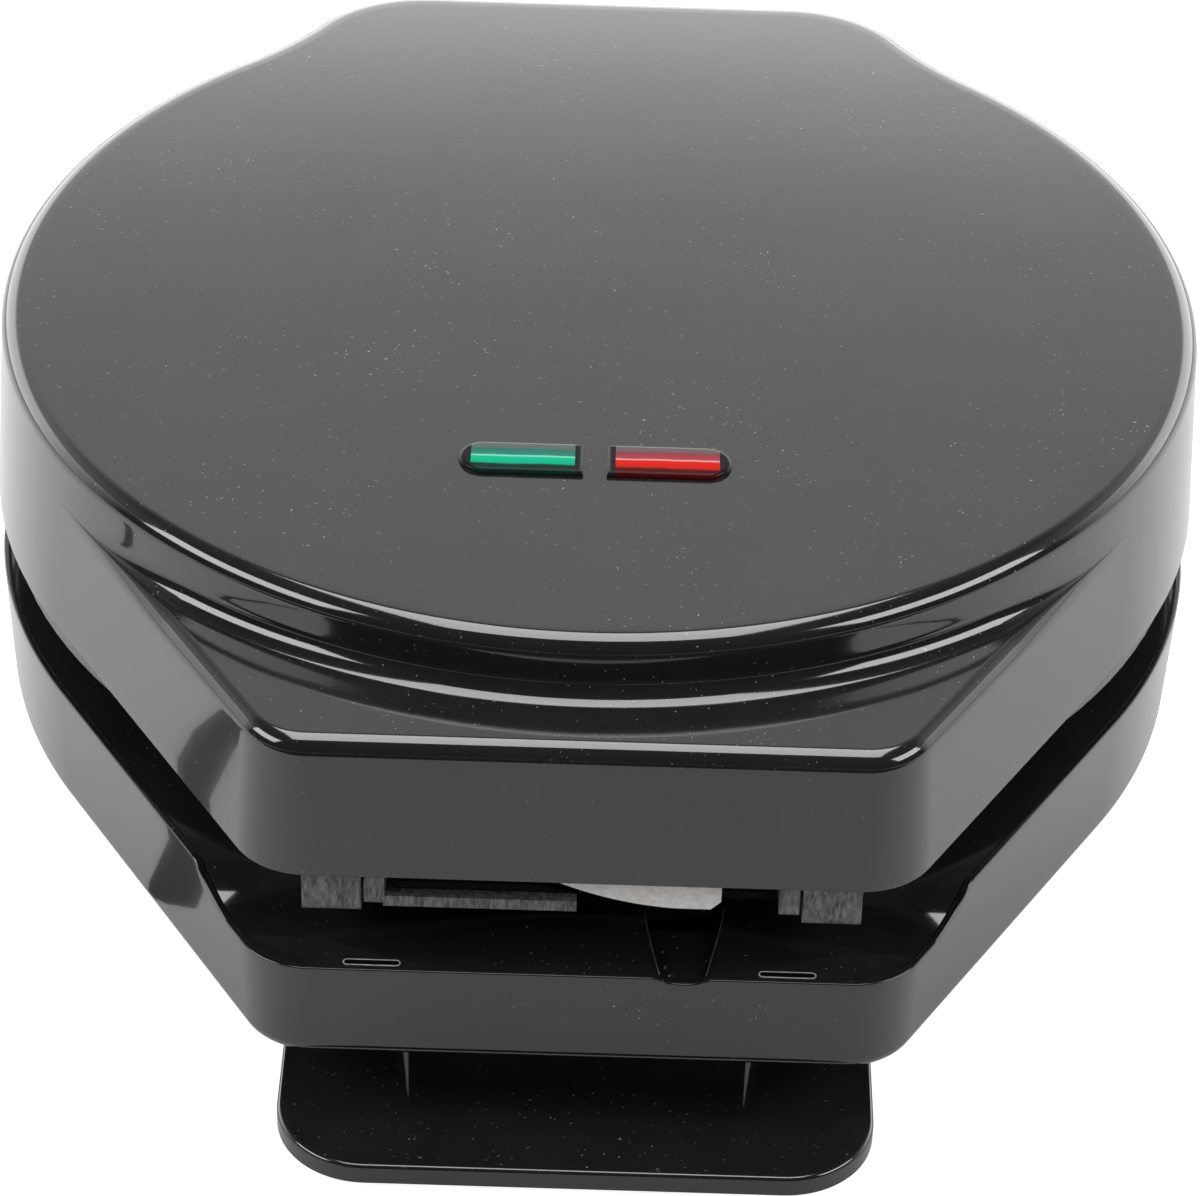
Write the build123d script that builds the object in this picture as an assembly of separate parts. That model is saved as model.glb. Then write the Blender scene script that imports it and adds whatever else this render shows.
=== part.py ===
from build123d import *
import os
from math import acos, atan2, cos, hypot, pi, radians, sin, sqrt, tan

# Overall sizes, millimetres. The disc centre is the working origin; parts are shifted on export.
DISC_R = 105.0
HANDLE_REACH = 13.2
REAR_REACH = 1.3
FOOT_REACH = 10.3
FRONT_Y = -DISC_R - HANDLE_REACH
REAR_Y = DISC_R + REAR_REACH
FRONT_CORNER_R = 13.2
FRONT_CORNER_X = 42.9
REAR_CORNER_R = 26.9
REAR_CORNER_X = 34.4
REAR_BLEND_R = 70.9
FOOT_FRONT_Y = FRONT_Y - FOOT_REACH
CENTRE_SHIFT_Y = -(FOOT_FRONT_Y + REAR_Y) / 2

# Heights
PAD_H = 1.4
FOOT_PLATE_H = 3.6
CORD_GAP_H = 13.0
BASE_H = 24.9
HANDLE_DROP = 5.4
RIM_GAP = 13.7
HANDLE_H = 25.1
LID_H = 35.2
PLATE_Z0 = PAD_H
PLATE_Z1 = PLATE_Z0 + FOOT_PLATE_H
FLOOR_Z = PLATE_Z1 + CORD_GAP_H
RIM_Z = FLOOR_Z + BASE_H
UPPER_RIM_Z = RIM_Z + RIM_GAP
HANDLE_TOP_Z = UPPER_RIM_Z + HANDLE_H
LID_TOP_Z = UPPER_RIM_Z + LID_H

# Drafts, walls and edge rounding
LID_DRAFT = 3.9
BASE_DRAFT = 2.2
WALL = 2.4
LIP = 1.25
DECK_T = 2.2
DECK_RECESS = 0.3
SEAT = 0.03
TOP_FILLET = 3.0
HANDLE_FILLET = 2.7
COVE_R = 3.4
BOTTOM_FILLET = 3.0
DECK_UNDER = DECK_RECESS + DECK_T

# Scooped step between main deck and handle deck of the base
CREASE_BACK = 19.6
CREASE_Y = FRONT_Y + CREASE_BACK
SCOOP_R = 15.0
SCOOP_RUN = sqrt(SCOOP_R ** 2 - (SCOOP_R - HANDLE_DROP) ** 2)

# Cooking plates
PLATE_GAP = 0.3
DECK_RING_W = 16.5
UPPER_PLATE_MARGIN = 1.6
LOWER_PLATE_R = DISC_R - DECK_RING_W
UPPER_PLATE_R = DISC_R - UPPER_PLATE_MARGIN
UPPER_PLATE_HANG = 5.5
UPPER_NECK_INSET = 2.5
UPPER_NECK_R = LOWER_PLATE_R - UPPER_NECK_INSET
OPENING_CLEAR = 0.3
SEAL_W = 8.5
WELL_R = LOWER_PLATE_R - SEAL_W
WELL_DEPTH = 10.0
DIVIDER_W = 11.0
WELL_FILLET = 3.0
WELL_CORNER_R = 6.0
RIM_ROUND = 1.0
CAST_T = 3.0
GROOVE_R0 = WELL_R + CAST_T - 0.4
GROOVE_R1 = LOWER_PLATE_R - CAST_T + 0.4
UPPER_SEAL_Z = UPPER_RIM_Z - UPPER_PLATE_HANG
LOWER_SEAL_Z = UPPER_SEAL_Z - PLATE_GAP
UPPER_DECK_Z0 = UPPER_RIM_Z + DECK_RECESS
UPPER_DECK_Z1 = UPPER_DECK_Z0 + DECK_T
LOWER_PAN_Z = LOWER_SEAL_Z - WELL_DEPTH - CAST_T
UPPER_PAN_Z = UPPER_SEAL_Z + WELL_DEPTH + CAST_T

# Heating
ELEMENT_TUBE_R = 3.3
ELEMENT_GAP_DEG = 24.0
ELEMENT_LEG = 2.0
ELEMENT_PIN = 2.0
CLAMP_W = 8.0
CLAMP_T = 1.0
CLAMP_CLEAR = 0.3
CLAMP_EAR = 2.5
CLAMP_ANGLES = (45.0, 135.0, 225.0, 315.0)
POST_R = 4.0
POST_INSET = 7.0
POST_RING_R = WELL_R - POST_INSET
ELEMENT_INSET = 13.0
ELEMENT_R = POST_RING_R - ELEMENT_INSET
POST_ANGLES = (30.0, 150.0, 270.0)
REFLECTOR_T = 0.6
REFLECTOR_LIP = 4.0
REFLECTOR_AIR = 1.7
LOWER_REFLECTOR_R = WELL_R
LOWER_REFLECTOR_Z = LOWER_PAN_Z - 2 * ELEMENT_TUBE_R - CLAMP_T - REFLECTOR_LIP + 0.8
UPPER_REFLECTOR_Z = UPPER_PAN_Z + 2 * ELEMENT_TUBE_R + CLAMP_T + REFLECTOR_AIR
UPPER_REFLECTOR_R = UPPER_NECK_R + CAST_T
UPPER_REFLECTOR_FLANGE = 6.0
THERMOSTAT_R = 7.0
THERMOSTAT_H = 6.0
FUSE_R = 2.0
FUSE_L = 14.0
FUSE_Y = 34.0
THERMOSTAT_TAB_X = 11.0
THERMOSTAT_TAB_W = 5.0
THERMOSTAT_TAB_T = 1.0

# Screws and bosses
SCREW_R = 1.5
SCREW_HEAD_R = 3.0
SCREW_HEAD_H = 1.8
SCREW_FIT = 0.02
HEAD_CLEAR = 0.4
BOSS_R = 4.0
HEAD_RECESS = 2.4
THREAD_END = 1.0
SCREW_BITE = 8.0
DECK_BOSS_H = 5.6
FOOT_BOSS_H = 5.6

# Feet
FOOT_HALF_W = 48.7
FOOT_CORNER_R = 15.0
FOOT_INNER_R = 6.0
FOOT_EDGE = 0.8
PEDESTAL_CORNER_R = 4.0
FOOT_DEPTH = 42.0
PEDESTAL_HALF_W = 30.0
PEDESTAL_SETBACK = 19.5
PEDESTAL_DEPTH = 17.0
REAR_FOOT_INSET = 7.3
REAR_FOOT_Y = REAR_Y - REAR_FOOT_INSET
FOOT_SCREW_SINK = 4.0
FOOT_SCREW_X = 20.0
PAD_R = 8.0
PAD_X = 37.0
PAD_SETBACK = 13.5
PEG_R = 2.5
PEG_ROOF = 1.2
PAD_EDGE = 0.4

# Hinge
HINGE_INSET = 7.5
HINGE_Y = REAR_Y - HINGE_INSET
HINGE_Z = (RIM_Z + UPPER_RIM_Z) / 2
KNUCKLE_R = 3.6
PIN_R = 1.8
PIN_FIT = 0.02
PIN_RUN = 0.05
HINGE_X0 = 35.0
EAR_W = 2.5
EAR_GAP = 0.3
ARM_W = 4.4
HINGE_X1 = HINGE_X0 + 2 * EAR_W + 2 * EAR_GAP + ARM_W
BRACKET_T = 1.5
RELIEF_SETBACK = 4.4
RELIEF_Y = HINGE_Y + RELIEF_SETBACK
RELIEF_HALF_W = 54.0
RELIEF_H = 2.7
RELIEF_Z = RIM_Z - RELIEF_H
BRACKET_X0 = 22.0
BRACKET_FRONT = 8.8
BRACKET_SCREWS = ((25.5, HINGE_Y - 5.3), (31.0, HINGE_Y - 0.3))
ARM_X0 = 27.5
ARM_X1 = 51.5
ARM_FRONT = 6.8
ARM_BACK = 5.4
ARM_CLEAR = 0.8
UPPER_FLAT_Y = HINGE_Y - ARM_FRONT - ARM_CLEAR
FLAT_HALF_W = sqrt((UPPER_PLATE_R - CAST_T / 2) ** 2 - UPPER_FLAT_Y ** 2)
ARM_SCREWS = ((31.0, HINGE_Y + 1.8), (48.4, HINGE_Y - 2.2))
HINGE_HEAD_R = 2.2
HINGE_HEAD_H = 1.4
HINGE_SCREW_L = 10.0

# Latch under the upper handle
LATCH_SETBACK = 8.2
LATCH_HANG = 3.6
LATCH_Y = FRONT_Y + LATCH_SETBACK
LATCH_Z = UPPER_RIM_Z - LATCH_HANG
LUG_X0 = 34.7
LUG_X1 = 44.0
LUG_HALF_D = 3.5
LUG_DROP = 7.6
LUG_Y0 = LATCH_Y - LUG_HALF_D
LUG_Y1 = LATCH_Y + LUG_HALF_D
LUG_Z = LATCH_Z - LUG_DROP
LUG_EDGE = 1.5
LATCH_PIN_R = 1.0
CLIP_X0 = 31.0
CLIP_X1 = 34.2
CLIP_ROD_R = 1.2
CLIP_DROP = 5.9
CLIP_RISE = 2.0
CLIP_Z0 = LATCH_Z - CLIP_DROP
CLIP_Z1 = LATCH_Z + CLIP_RISE
CLIP_EDGE = 1.2
CLIP_BAR_H = 2.0
CLIP_BAR_D = 2.0
CLIP_BAR_Y0 = LATCH_Y - LUG_HALF_D
CLIP_BAR_Y1 = CLIP_BAR_Y0 + CLIP_BAR_D
CLIP_BAR_END = -0.8
BUFFER_X0 = -8.7
BUFFER_X1 = 21.8
BUFFER_AHEAD = 5.2
BUFFER_D = 3.6
BUFFER_HANG = 6.8
BUFFER_MID_HANG = 4.9
BUFFER_Y0 = LATCH_Y - BUFFER_AHEAD
BUFFER_Y1 = BUFFER_Y0 + BUFFER_D
BUFFER_Z = UPPER_RIM_Z - BUFFER_HANG
BUFFER_LOW_X = 14.6
BUFFER_MID = (3.6, UPPER_RIM_Z - BUFFER_MID_HANG)
BUFFER_CORNER = 1.6
BUFFER_PEG_R = 1.6
BUFFER_PEGS = (5.0, 16.0)

# Channel, notch and slots of the lower handle deck
CHANNEL_L0 = 14.8
CHANNEL_L1 = 16.1
CHANNEL_BACK = ((10.1, FRONT_Y + CHANNEL_L0), (23.0, FRONT_Y + CHANNEL_L1))
CHANNEL_FRONT = ((12.6, FRONT_Y - 1.0), (20.0, FRONT_Y - 1.0))
CHANNEL_DEPTH = 1.1
NOTCH_X = 16.3
NOTCH_R = 3.7
NOTCH_DEPTH = 1.1
SLOT_X0 = 28.4
SLOT_X1 = 37.4
SLOT_SETBACK = 1.8
SLOT_W = 1.2
SLOT_Y0 = FRONT_Y + SLOT_SETBACK
SLOT_Y1 = SLOT_Y0 + SLOT_W

# Indicator lights
LENS_Y = -53.85
LENS_HALF_W = 4.15
LENS_X0 = 1.9
LENS_X1 = 22.2
LENS_PROUD = 1.0
LENS_FIT = 0.06
LENS_FLANGE = 1.2
LENS_FLANGE_T = 1.2
LENS_EDGE = 0.8
LAMP_R = 2.2
LAMP_L = 15.0
HOLDER_H = 9.2
HOLDER_WALL = 1.5
HOLDER_X = 28.0
HOLDER_EAR_X = 36.0
HOLDER_HALF_D = 7.5
HOLDER_SCREW_X = 32.0

# Cord inlet
GLAND_H = 9.5
GLAND_Z = FLOOR_Z + GLAND_H
GLAND_R = 5.0
GLAND_BORE_R = 3.2
GLAND_FLANGE_R = 7.0
GLAND_FLANGE_T = 1.5
TERMINAL_SIZE = (26.0, 12.0, 9.0)
TERMINAL_INSET = 16.3
TERMINAL_Y = REAR_Y - TERMINAL_INSET
TERMINAL_PITCH = TERMINAL_SIZE[0] / 3.4
TERMINAL_WELL_R = 2.2
TERMINAL_FLOOR = 3.0
GLAND_GRIP = 0.9

FLOOR_TOP_Z = FLOOR_Z + WALL


def box(x0, x1, y0, y1, z0, z1):
    return Pos((x0 + x1) / 2, (y0 + y1) / 2, (z0 + z1) / 2) * Box(x1 - x0, y1 - y0, z1 - z0)


def post(x, y, z0, z1, r):
    return Pos(x, y, (z0 + z1) / 2) * Cylinder(r, z1 - z0)


def rod(x0, x1, y, z, r):
    return Pos((x0 + x1) / 2, y, z) * Rot(0, 90, 0) * Cylinder(r, x1 - x0)


def joined(pieces):
    total = pieces[0]
    for piece in pieces[1:]:
        total = total + piece
    return total


def polar(centre, r, a):
    return (centre[0] + r * cos(a), centre[1] + r * sin(a))


def flip(p):
    return (-p[0], p[1])


def outline(offset, z, handle=True):
    """Plan outline of both shells, moved outward by offset: disc, tapered handle and rear block."""
    disc_r = DISC_R + offset
    rear_c = (REAR_CORNER_X, REAR_Y - REAR_CORNER_R)
    rear_r = REAR_CORNER_R + offset
    blend_r = REAR_BLEND_R - offset
    d = hypot(*rear_c)
    near = disc_r + blend_r
    far = rear_r + blend_r
    along = (near ** 2 - far ** 2 + d ** 2) / (2 * d)
    across = sqrt(near ** 2 - along ** 2)
    u = (rear_c[0] / d, rear_c[1] / d)
    blend_c = (along * u[0] + across * u[1], along * u[1] - across * u[0])
    a_disc = atan2(blend_c[1], blend_c[0])
    a_rear = atan2(blend_c[1] - rear_c[1], blend_c[0] - rear_c[0])
    on_disc = polar((0, 0), disc_r, a_disc)
    on_rear = polar(rear_c, rear_r, a_rear)
    middle = ((on_disc[0] + on_rear[0]) / 2, (on_disc[1] + on_rear[1]) / 2)
    on_blend = polar(blend_c, blend_r, atan2(middle[1] - blend_c[1], middle[0] - blend_c[0]))
    rear_end = (REAR_CORNER_X, REAR_Y + offset)
    half = []
    if handle:
        front_c = (FRONT_CORNER_X, FRONT_Y + FRONT_CORNER_R)
        front_r = FRONT_CORNER_R + offset
        a_side = atan2(front_c[1], front_c[0]) + acos((disc_r - front_r) / hypot(*front_c))
        start = (FRONT_CORNER_X, FRONT_Y - offset)
        side_0 = polar(front_c, front_r, a_side)
        side_1 = polar((0, 0), disc_r, a_side)
        half.append((start, polar(front_c, front_r, (a_side - pi / 2) / 2), side_0))
        half.append((side_0, side_1))
        half.append((side_1, polar((0, 0), disc_r, (a_side + a_disc) / 2), on_disc))
    else:
        half.append(((0, -disc_r), polar((0, 0), disc_r, (a_disc - pi / 2) / 2), on_disc))
    half.append((on_disc, on_blend, on_rear))
    half.append((on_rear, polar(rear_c, rear_r, (a_rear + pi / 2) / 2), rear_end))
    edges = []
    for points in half:
        edges.append(points)
        edges.append(tuple(flip(p) for p in points))
    edges.append((rear_end, flip(rear_end)))
    if handle:
        edges.append((start, flip(start)))
    curves = [Line(*p) if len(p) == 2 else ThreePointArc(*p) for p in edges]
    return Pos(0, 0, z) * make_face(Curve() + curves)


def lid_body(offset, height, handle=True):
    return extrude(outline(offset, UPPER_RIM_Z, handle), height, taper=LID_DRAFT)


def base_body(offset, depth):
    return extrude(outline(offset, RIM_Z), depth, dir=(0, 0, -1), taper=BASE_DRAFT)


def above_deck(drop):
    """Everything above the stepped deck line of the base, lowered by drop."""
    y_far = 2 * DISC_R
    z_low = RIM_Z - HANDLE_DROP - drop
    z_high = RIM_Z - drop
    y_deck = CREASE_Y - SCOOP_RUN
    a = acos((SCOOP_R - HANDLE_DROP) / SCOOP_R) / 2
    centre = (y_deck, z_low + SCOOP_R)
    mid = (centre[0] + SCOOP_R * sin(a), centre[1] - SCOOP_R * cos(a))
    lines = [
        Line((-y_far, z_low), (y_deck, z_low)),
        ThreePointArc((y_deck, z_low), mid, (CREASE_Y, z_high)),
        Line((CREASE_Y, z_high), (y_far, z_high)),
        Line((y_far, z_high), (y_far, y_far)),
        Line((y_far, y_far), (-y_far, y_far)),
        Line((-y_far, y_far), (-y_far, z_low)),
    ]
    return extrude(Plane.YZ * make_face(Curve() + lines), y_far, both=True)


def ring_points(radius, angles):
    return [polar((0, 0), radius, radians(a)) for a in angles]


def screw_up(x, y, z_head, z_tip):
    """Screw driven from below: head at z_head, tip above."""
    return post(x, y, z_head, z_head + SCREW_HEAD_H, SCREW_HEAD_R) + post(
        x, y, z_head + SCREW_HEAD_H, z_tip, SCREW_R
    )


# Base shell
POSTS = ring_points(POST_RING_R, POST_ANGLES)
DECK_SCREW_PLACES = (
    (FRONT_CORNER_X + 5.0, CREASE_Y + 6.0),
    polar((0, 0), (LOWER_PLATE_R + DISC_R) / 2 - 2.0, radians(46)),
)
DECK_SCREWS = [(s * x, y) for s in (1, -1) for x, y in DECK_SCREW_PLACES]
DECK_BOSS_Z = FLOOR_TOP_Z + DECK_BOSS_H
FOOT_SCREWS = [
    (s * FOOT_SCREW_X, y)
    for s in (1, -1)
    for y in (
        FOOT_FRONT_Y + PEDESTAL_SETBACK + PEDESTAL_DEPTH / 2,
        REAR_FOOT_Y - PEDESTAL_SETBACK - PEDESTAL_DEPTH / 2,
    )
]
FOOT_BOSS_Z = FLOOR_TOP_Z + FOOT_BOSS_H
FLOOR_HEAD_Z = FLOOR_Z + HEAD_RECESS

base_outer = base_body(0, BASE_H)
bottom = base_outer.edges().filter_by(lambda e: abs(e.bounding_box().max.Z - FLOOR_Z) < SEAT)
base_outer = fillet(bottom, BOTTOM_FILLET)
base_shell = base_outer - above_deck(0)
base_shell -= base_body(-WALL, BASE_H - WALL)
base_shell -= base_body(-LIP, BASE_H) & above_deck(DECK_UNDER)
for x, y in POSTS:
    base_shell += post(x, y, FLOOR_TOP_Z, LOWER_REFLECTOR_Z, BOSS_R)
for x, y in DECK_SCREWS:
    base_shell += post(x, y, FLOOR_TOP_Z, DECK_BOSS_Z, BOSS_R)
for x, y in FOOT_SCREWS:
    base_shell += post(x, y, FLOOR_TOP_Z, FOOT_BOSS_Z, BOSS_R)
for s in (1, -1):
    for x, y in BRACKET_SCREWS:
        base_shell += post(s * x, y, FLOOR_TOP_Z, RIM_Z - DECK_UNDER, BOSS_R)
for x, y in POSTS + DECK_SCREWS:
    base_shell -= post(x, y, FLOOR_Z - 1, FLOOR_HEAD_Z, SCREW_HEAD_R + HEAD_CLEAR)
    base_shell -= post(x, y, FLOOR_Z, max(LOWER_REFLECTOR_Z, DECK_BOSS_Z) + 1, SCREW_R + SCREW_FIT)
for x, y in FOOT_SCREWS:
    base_shell -= post(x, y, FLOOR_Z - 1, FOOT_BOSS_Z - THREAD_END, SCREW_R + SCREW_FIT)
for s in (1, -1):
    for x, y in BRACKET_SCREWS:
        base_shell -= post(s * x, y, RIM_Z - DECK_UNDER - HINGE_SCREW_L, RIM_Z, SCREW_R + SCREW_FIT)
relief = box(-RELIEF_HALF_W, RELIEF_HALF_W, RELIEF_Y, REAR_Y + 5, RELIEF_Z, RIM_Z + 5)
base_shell -= relief
gland_y = REAR_Y - (RIM_Z - GLAND_Z) * tan(radians(BASE_DRAFT))
base_shell -= Pos(0, gland_y, GLAND_Z) * Rot(90, 0, 0) * Cylinder(GLAND_R + PIN_FIT, 2 * GLAND_R)
base_shell -= post(NOTCH_X, FRONT_Y, RIM_Z - HANDLE_DROP - NOTCH_DEPTH, RIM_Z, NOTCH_R) & box(
    NOTCH_X - NOTCH_R, NOTCH_X + NOTCH_R, FRONT_Y - 5, FRONT_Y + LIP + SEAT, FLOOR_Z, RIM_Z
)

# Lower deck
lower_deck = (base_body(-LIP - SEAT, BASE_H) & above_deck(DECK_UNDER)) - above_deck(DECK_RECESS)
lower_deck -= post(0, 0, FLOOR_Z, RIM_Z + 5, LOWER_PLATE_R + OPENING_CLEAR)
handle_z = RIM_Z - HANDLE_DROP - DECK_RECESS
channel = extrude(
    Pos(0, 0, handle_z - CHANNEL_DEPTH)
    * make_face(Polyline(CHANNEL_BACK[0], CHANNEL_BACK[1], CHANNEL_FRONT[1], CHANNEL_FRONT[0], close=True)),
    HANDLE_DROP,
)
lower_deck -= channel
for s in (1, -1):
    xs = sorted((s * SLOT_X0, s * SLOT_X1))
    lower_deck -= box(xs[0], xs[1], SLOT_Y0, SLOT_Y1, handle_z - DECK_T - 1, handle_z + 1)
    for x, y in BRACKET_SCREWS:
        lower_deck -= post(s * x, y, FLOOR_Z, RIM_Z, SCREW_R + SCREW_FIT)
lower_deck -= relief
for x, y in DECK_SCREWS:
    pillar = post(x, y, DECK_BOSS_Z, RIM_Z - DECK_RECESS, BOSS_R) - above_deck(DECK_RECESS)
    lower_deck += pillar - post(x, y, DECK_BOSS_Z - 1, DECK_BOSS_Z + SCREW_BITE + THREAD_END, SCREW_R + SCREW_FIT)


# Cooking plates: one routine, mirrored for the upper plate
def half_moon(side, r, gap, z0, z1):
    moon = post(0, 0, z0, z1, r)
    keep = box(gap, r, -r, r, z0, z1) if side > 0 else box(-r, -gap, -r, r, z0, z1)
    return moon & keep


def wells(z_seal, z_floor):
    """Two half-moon wells, rounded at the floor and at the upright corners."""
    z0, z1 = sorted((z_seal, z_floor))
    cuts = []
    for side in (1, -1):
        moon = half_moon(side, WELL_R, DIVIDER_W / 2, z0, z1)
        moon = fillet(moon.edges().filter_by(Axis.Z), WELL_CORNER_R)
        floor = moon.edges().filter_by(
            lambda e: abs(e.bounding_box().min.Z - z_floor) < SEAT and abs(e.bounding_box().max.Z - z_floor) < SEAT
        )
        cuts.append(fillet(floor, WELL_FILLET))
    return joined(cuts)


lower_plate = post(0, 0, LOWER_PAN_Z, LOWER_SEAL_Z, LOWER_PLATE_R)
ring = lower_plate.edges().filter_by(lambda e: abs(e.center().Z - LOWER_SEAL_Z) < SEAT)
lower_plate = fillet(ring, RIM_ROUND)
lower_plate -= wells(LOWER_SEAL_Z, LOWER_SEAL_Z - WELL_DEPTH)
groove = post(0, 0, LOWER_PAN_Z - 1, LOWER_SEAL_Z - CAST_T, GROOVE_R1)
lower_plate -= groove - post(0, 0, LOWER_PAN_Z - 1, LOWER_SEAL_Z, GROOVE_R0)
for x, y in POSTS:
    lower_plate += post(x, y, LOWER_REFLECTOR_Z + REFLECTOR_T, LOWER_PAN_Z + 1, POST_R)
    lower_plate -= post(x, y, LOWER_REFLECTOR_Z, LOWER_PAN_Z - THREAD_END, SCREW_R + SCREW_FIT)

upper_plate = post(0, 0, UPPER_SEAL_Z, UPPER_DECK_Z0, UPPER_PLATE_R)
ring = upper_plate.edges().filter_by(lambda e: abs(e.center().Z - UPPER_SEAL_Z) < SEAT)
upper_plate = fillet(ring, RIM_ROUND)
upper_plate -= post(0, 0, UPPER_SEAL_Z + CAST_T, UPPER_DECK_Z0 + 1, UPPER_PLATE_R - CAST_T) - post(
    0, 0, UPPER_SEAL_Z, UPPER_DECK_Z0 + 2, UPPER_NECK_R + CAST_T
)
upper_plate -= box(
    -RELIEF_HALF_W, RELIEF_HALF_W, UPPER_FLAT_Y, UPPER_PLATE_R + 1, UPPER_SEAL_Z - 1, UPPER_DECK_Z0 + 1
)
upper_plate += box(
    -FLAT_HALF_W, FLAT_HALF_W, UPPER_FLAT_Y - CAST_T, UPPER_FLAT_Y, UPPER_SEAL_Z, UPPER_DECK_Z0
)
upper_plate += post(0, 0, UPPER_SEAL_Z + 1, UPPER_PAN_Z, UPPER_NECK_R)
upper_plate -= wells(UPPER_SEAL_Z, UPPER_SEAL_Z + WELL_DEPTH)
for x, y in POSTS:
    upper_plate += post(x, y, UPPER_PAN_Z - 1, UPPER_REFLECTOR_Z, POST_R)
    upper_plate -= post(x, y, UPPER_PAN_Z + THREAD_END, UPPER_REFLECTOR_Z + 1, SCREW_R + SCREW_FIT)


# Elements, clamps and reflectors
def element(z, leg):
    """Open ring of sheathed tube whose two ends turn away from the plate."""
    half_gap = radians(ELEMENT_GAP_DEG / 2)
    start = polar((0, 0), ELEMENT_R, pi / 2 + half_gap)
    end = polar((0, 0), ELEMENT_R, pi / 2 - half_gap)
    path = ThreePointArc(start, (0, -ELEMENT_R), end)
    profile = Plane(origin=path @ 0, z_dir=path % 0) * Circle(ELEMENT_TUBE_R)
    tube = Pos(0, 0, z) * sweep(profile, path)
    z_leg = z + leg
    for x, y in (start, end):
        low, high = sorted((z, z_leg))
        tube += Pos(x, y, z) * Sphere(ELEMENT_TUBE_R)
        tube += post(x, y, low, high, ELEMENT_TUBE_R)
        low, high = sorted((z_leg, z_leg + (ELEMENT_PIN if leg > 0 else -ELEMENT_PIN)))
        tube += post(x, y, low, high, SCREW_R)
    return tube


def clamps(z_plate, side):
    """Strip bridges that hold the element against the plate; side is the direction away from the plate."""
    wall = ELEMENT_TUBE_R + CLAMP_CLEAR + CLAMP_T
    reach = wall + CLAMP_EAR
    z_out = z_plate + side * (2 * ELEMENT_TUBE_R + CLAMP_T)
    bridge = box(ELEMENT_R - wall, ELEMENT_R + wall, -CLAMP_W / 2, CLAMP_W / 2, *sorted((z_plate, z_out)))
    bridge += box(
        ELEMENT_R - reach,
        ELEMENT_R + reach,
        -CLAMP_W / 2,
        CLAMP_W / 2,
        *sorted((z_plate, z_plate + side * CLAMP_T)),
    )
    bore = wall - CLAMP_T
    bridge -= box(
        ELEMENT_R - bore,
        ELEMENT_R + bore,
        -CLAMP_W,
        CLAMP_W,
        *sorted((z_plate - side, z_plate + side * 2 * ELEMENT_TUBE_R)),
    )
    return joined([Rot(0, 0, a) * bridge for a in CLAMP_ANGLES])


lower_element = element(LOWER_PAN_Z - ELEMENT_TUBE_R, -ELEMENT_LEG)
upper_element = element(UPPER_PAN_Z + ELEMENT_TUBE_R, ELEMENT_LEG / 2)
lower_element_clamps = clamps(LOWER_PAN_Z, -1)
upper_element_clamps = clamps(UPPER_PAN_Z, 1)

lower_reflector = post(0, 0, LOWER_REFLECTOR_Z, LOWER_REFLECTOR_Z + REFLECTOR_T, LOWER_REFLECTOR_R)
lower_reflector += post(0, 0, LOWER_REFLECTOR_Z, LOWER_REFLECTOR_Z + REFLECTOR_LIP, LOWER_REFLECTOR_R) - post(
    0, 0, LOWER_REFLECTOR_Z - 1, LOWER_REFLECTOR_Z + REFLECTOR_LIP + 1, LOWER_REFLECTOR_R - REFLECTOR_T
)
for x, y in POSTS:
    lower_reflector -= post(x, y, LOWER_REFLECTOR_Z - 1, LOWER_REFLECTOR_Z + 2, SCREW_R + SCREW_FIT)

pan_top = UPPER_REFLECTOR_Z + REFLECTOR_T
upper_reflector = post(0, 0, UPPER_DECK_Z1, pan_top, UPPER_REFLECTOR_R) - post(
    0, 0, UPPER_DECK_Z1 - 1, UPPER_REFLECTOR_Z, UPPER_REFLECTOR_R - REFLECTOR_T
)
upper_reflector += post(
    0, 0, UPPER_DECK_Z1, UPPER_DECK_Z1 + REFLECTOR_T, UPPER_REFLECTOR_R + UPPER_REFLECTOR_FLANGE
) - post(0, 0, UPPER_DECK_Z1 - 1, UPPER_DECK_Z1 + 2, UPPER_REFLECTOR_R - REFLECTOR_T)
for x, y in POSTS:
    upper_reflector -= post(x, y, UPPER_REFLECTOR_Z - 1, pan_top + 1, SCREW_R + SCREW_FIT)

lower_plate_screws = joined(
    [screw_up(x, y, FLOOR_HEAD_Z - SCREW_HEAD_H, LOWER_PAN_Z - 2 * THREAD_END) for x, y in POSTS]
)
upper_plate_screws = joined(
    [
        post(x, y, pan_top, pan_top + SCREW_HEAD_H, SCREW_HEAD_R)
        + post(x, y, UPPER_PAN_Z + 2 * THREAD_END, pan_top, SCREW_R)
        for x, y in POSTS
    ]
)

# Control parts in the base
thermostat = post(0, 0, LOWER_PAN_Z - THERMOSTAT_H, LOWER_PAN_Z, THERMOSTAT_R)
tab_z = LOWER_PAN_Z - THERMOSTAT_H
thermostat += box(
    -THERMOSTAT_TAB_X, THERMOSTAT_TAB_X, -THERMOSTAT_TAB_W / 2, THERMOSTAT_TAB_W / 2, tab_z, tab_z + THERMOSTAT_TAB_T
)
thermal_fuse = rod(-FUSE_L / 2, FUSE_L / 2, FUSE_Y, LOWER_PAN_Z - FUSE_R, FUSE_R)
terminal_block = box(
    -TERMINAL_SIZE[0] / 2,
    TERMINAL_SIZE[0] / 2,
    TERMINAL_Y - TERMINAL_SIZE[1] / 2,
    TERMINAL_Y + TERMINAL_SIZE[1] / 2,
    FLOOR_TOP_Z,
    FLOOR_TOP_Z + TERMINAL_SIZE[2],
)
for x in (-TERMINAL_PITCH, 0, TERMINAL_PITCH):
    terminal_block -= post(x, TERMINAL_Y, FLOOR_TOP_Z + TERMINAL_FLOOR, RIM_Z, TERMINAL_WELL_R)

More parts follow.
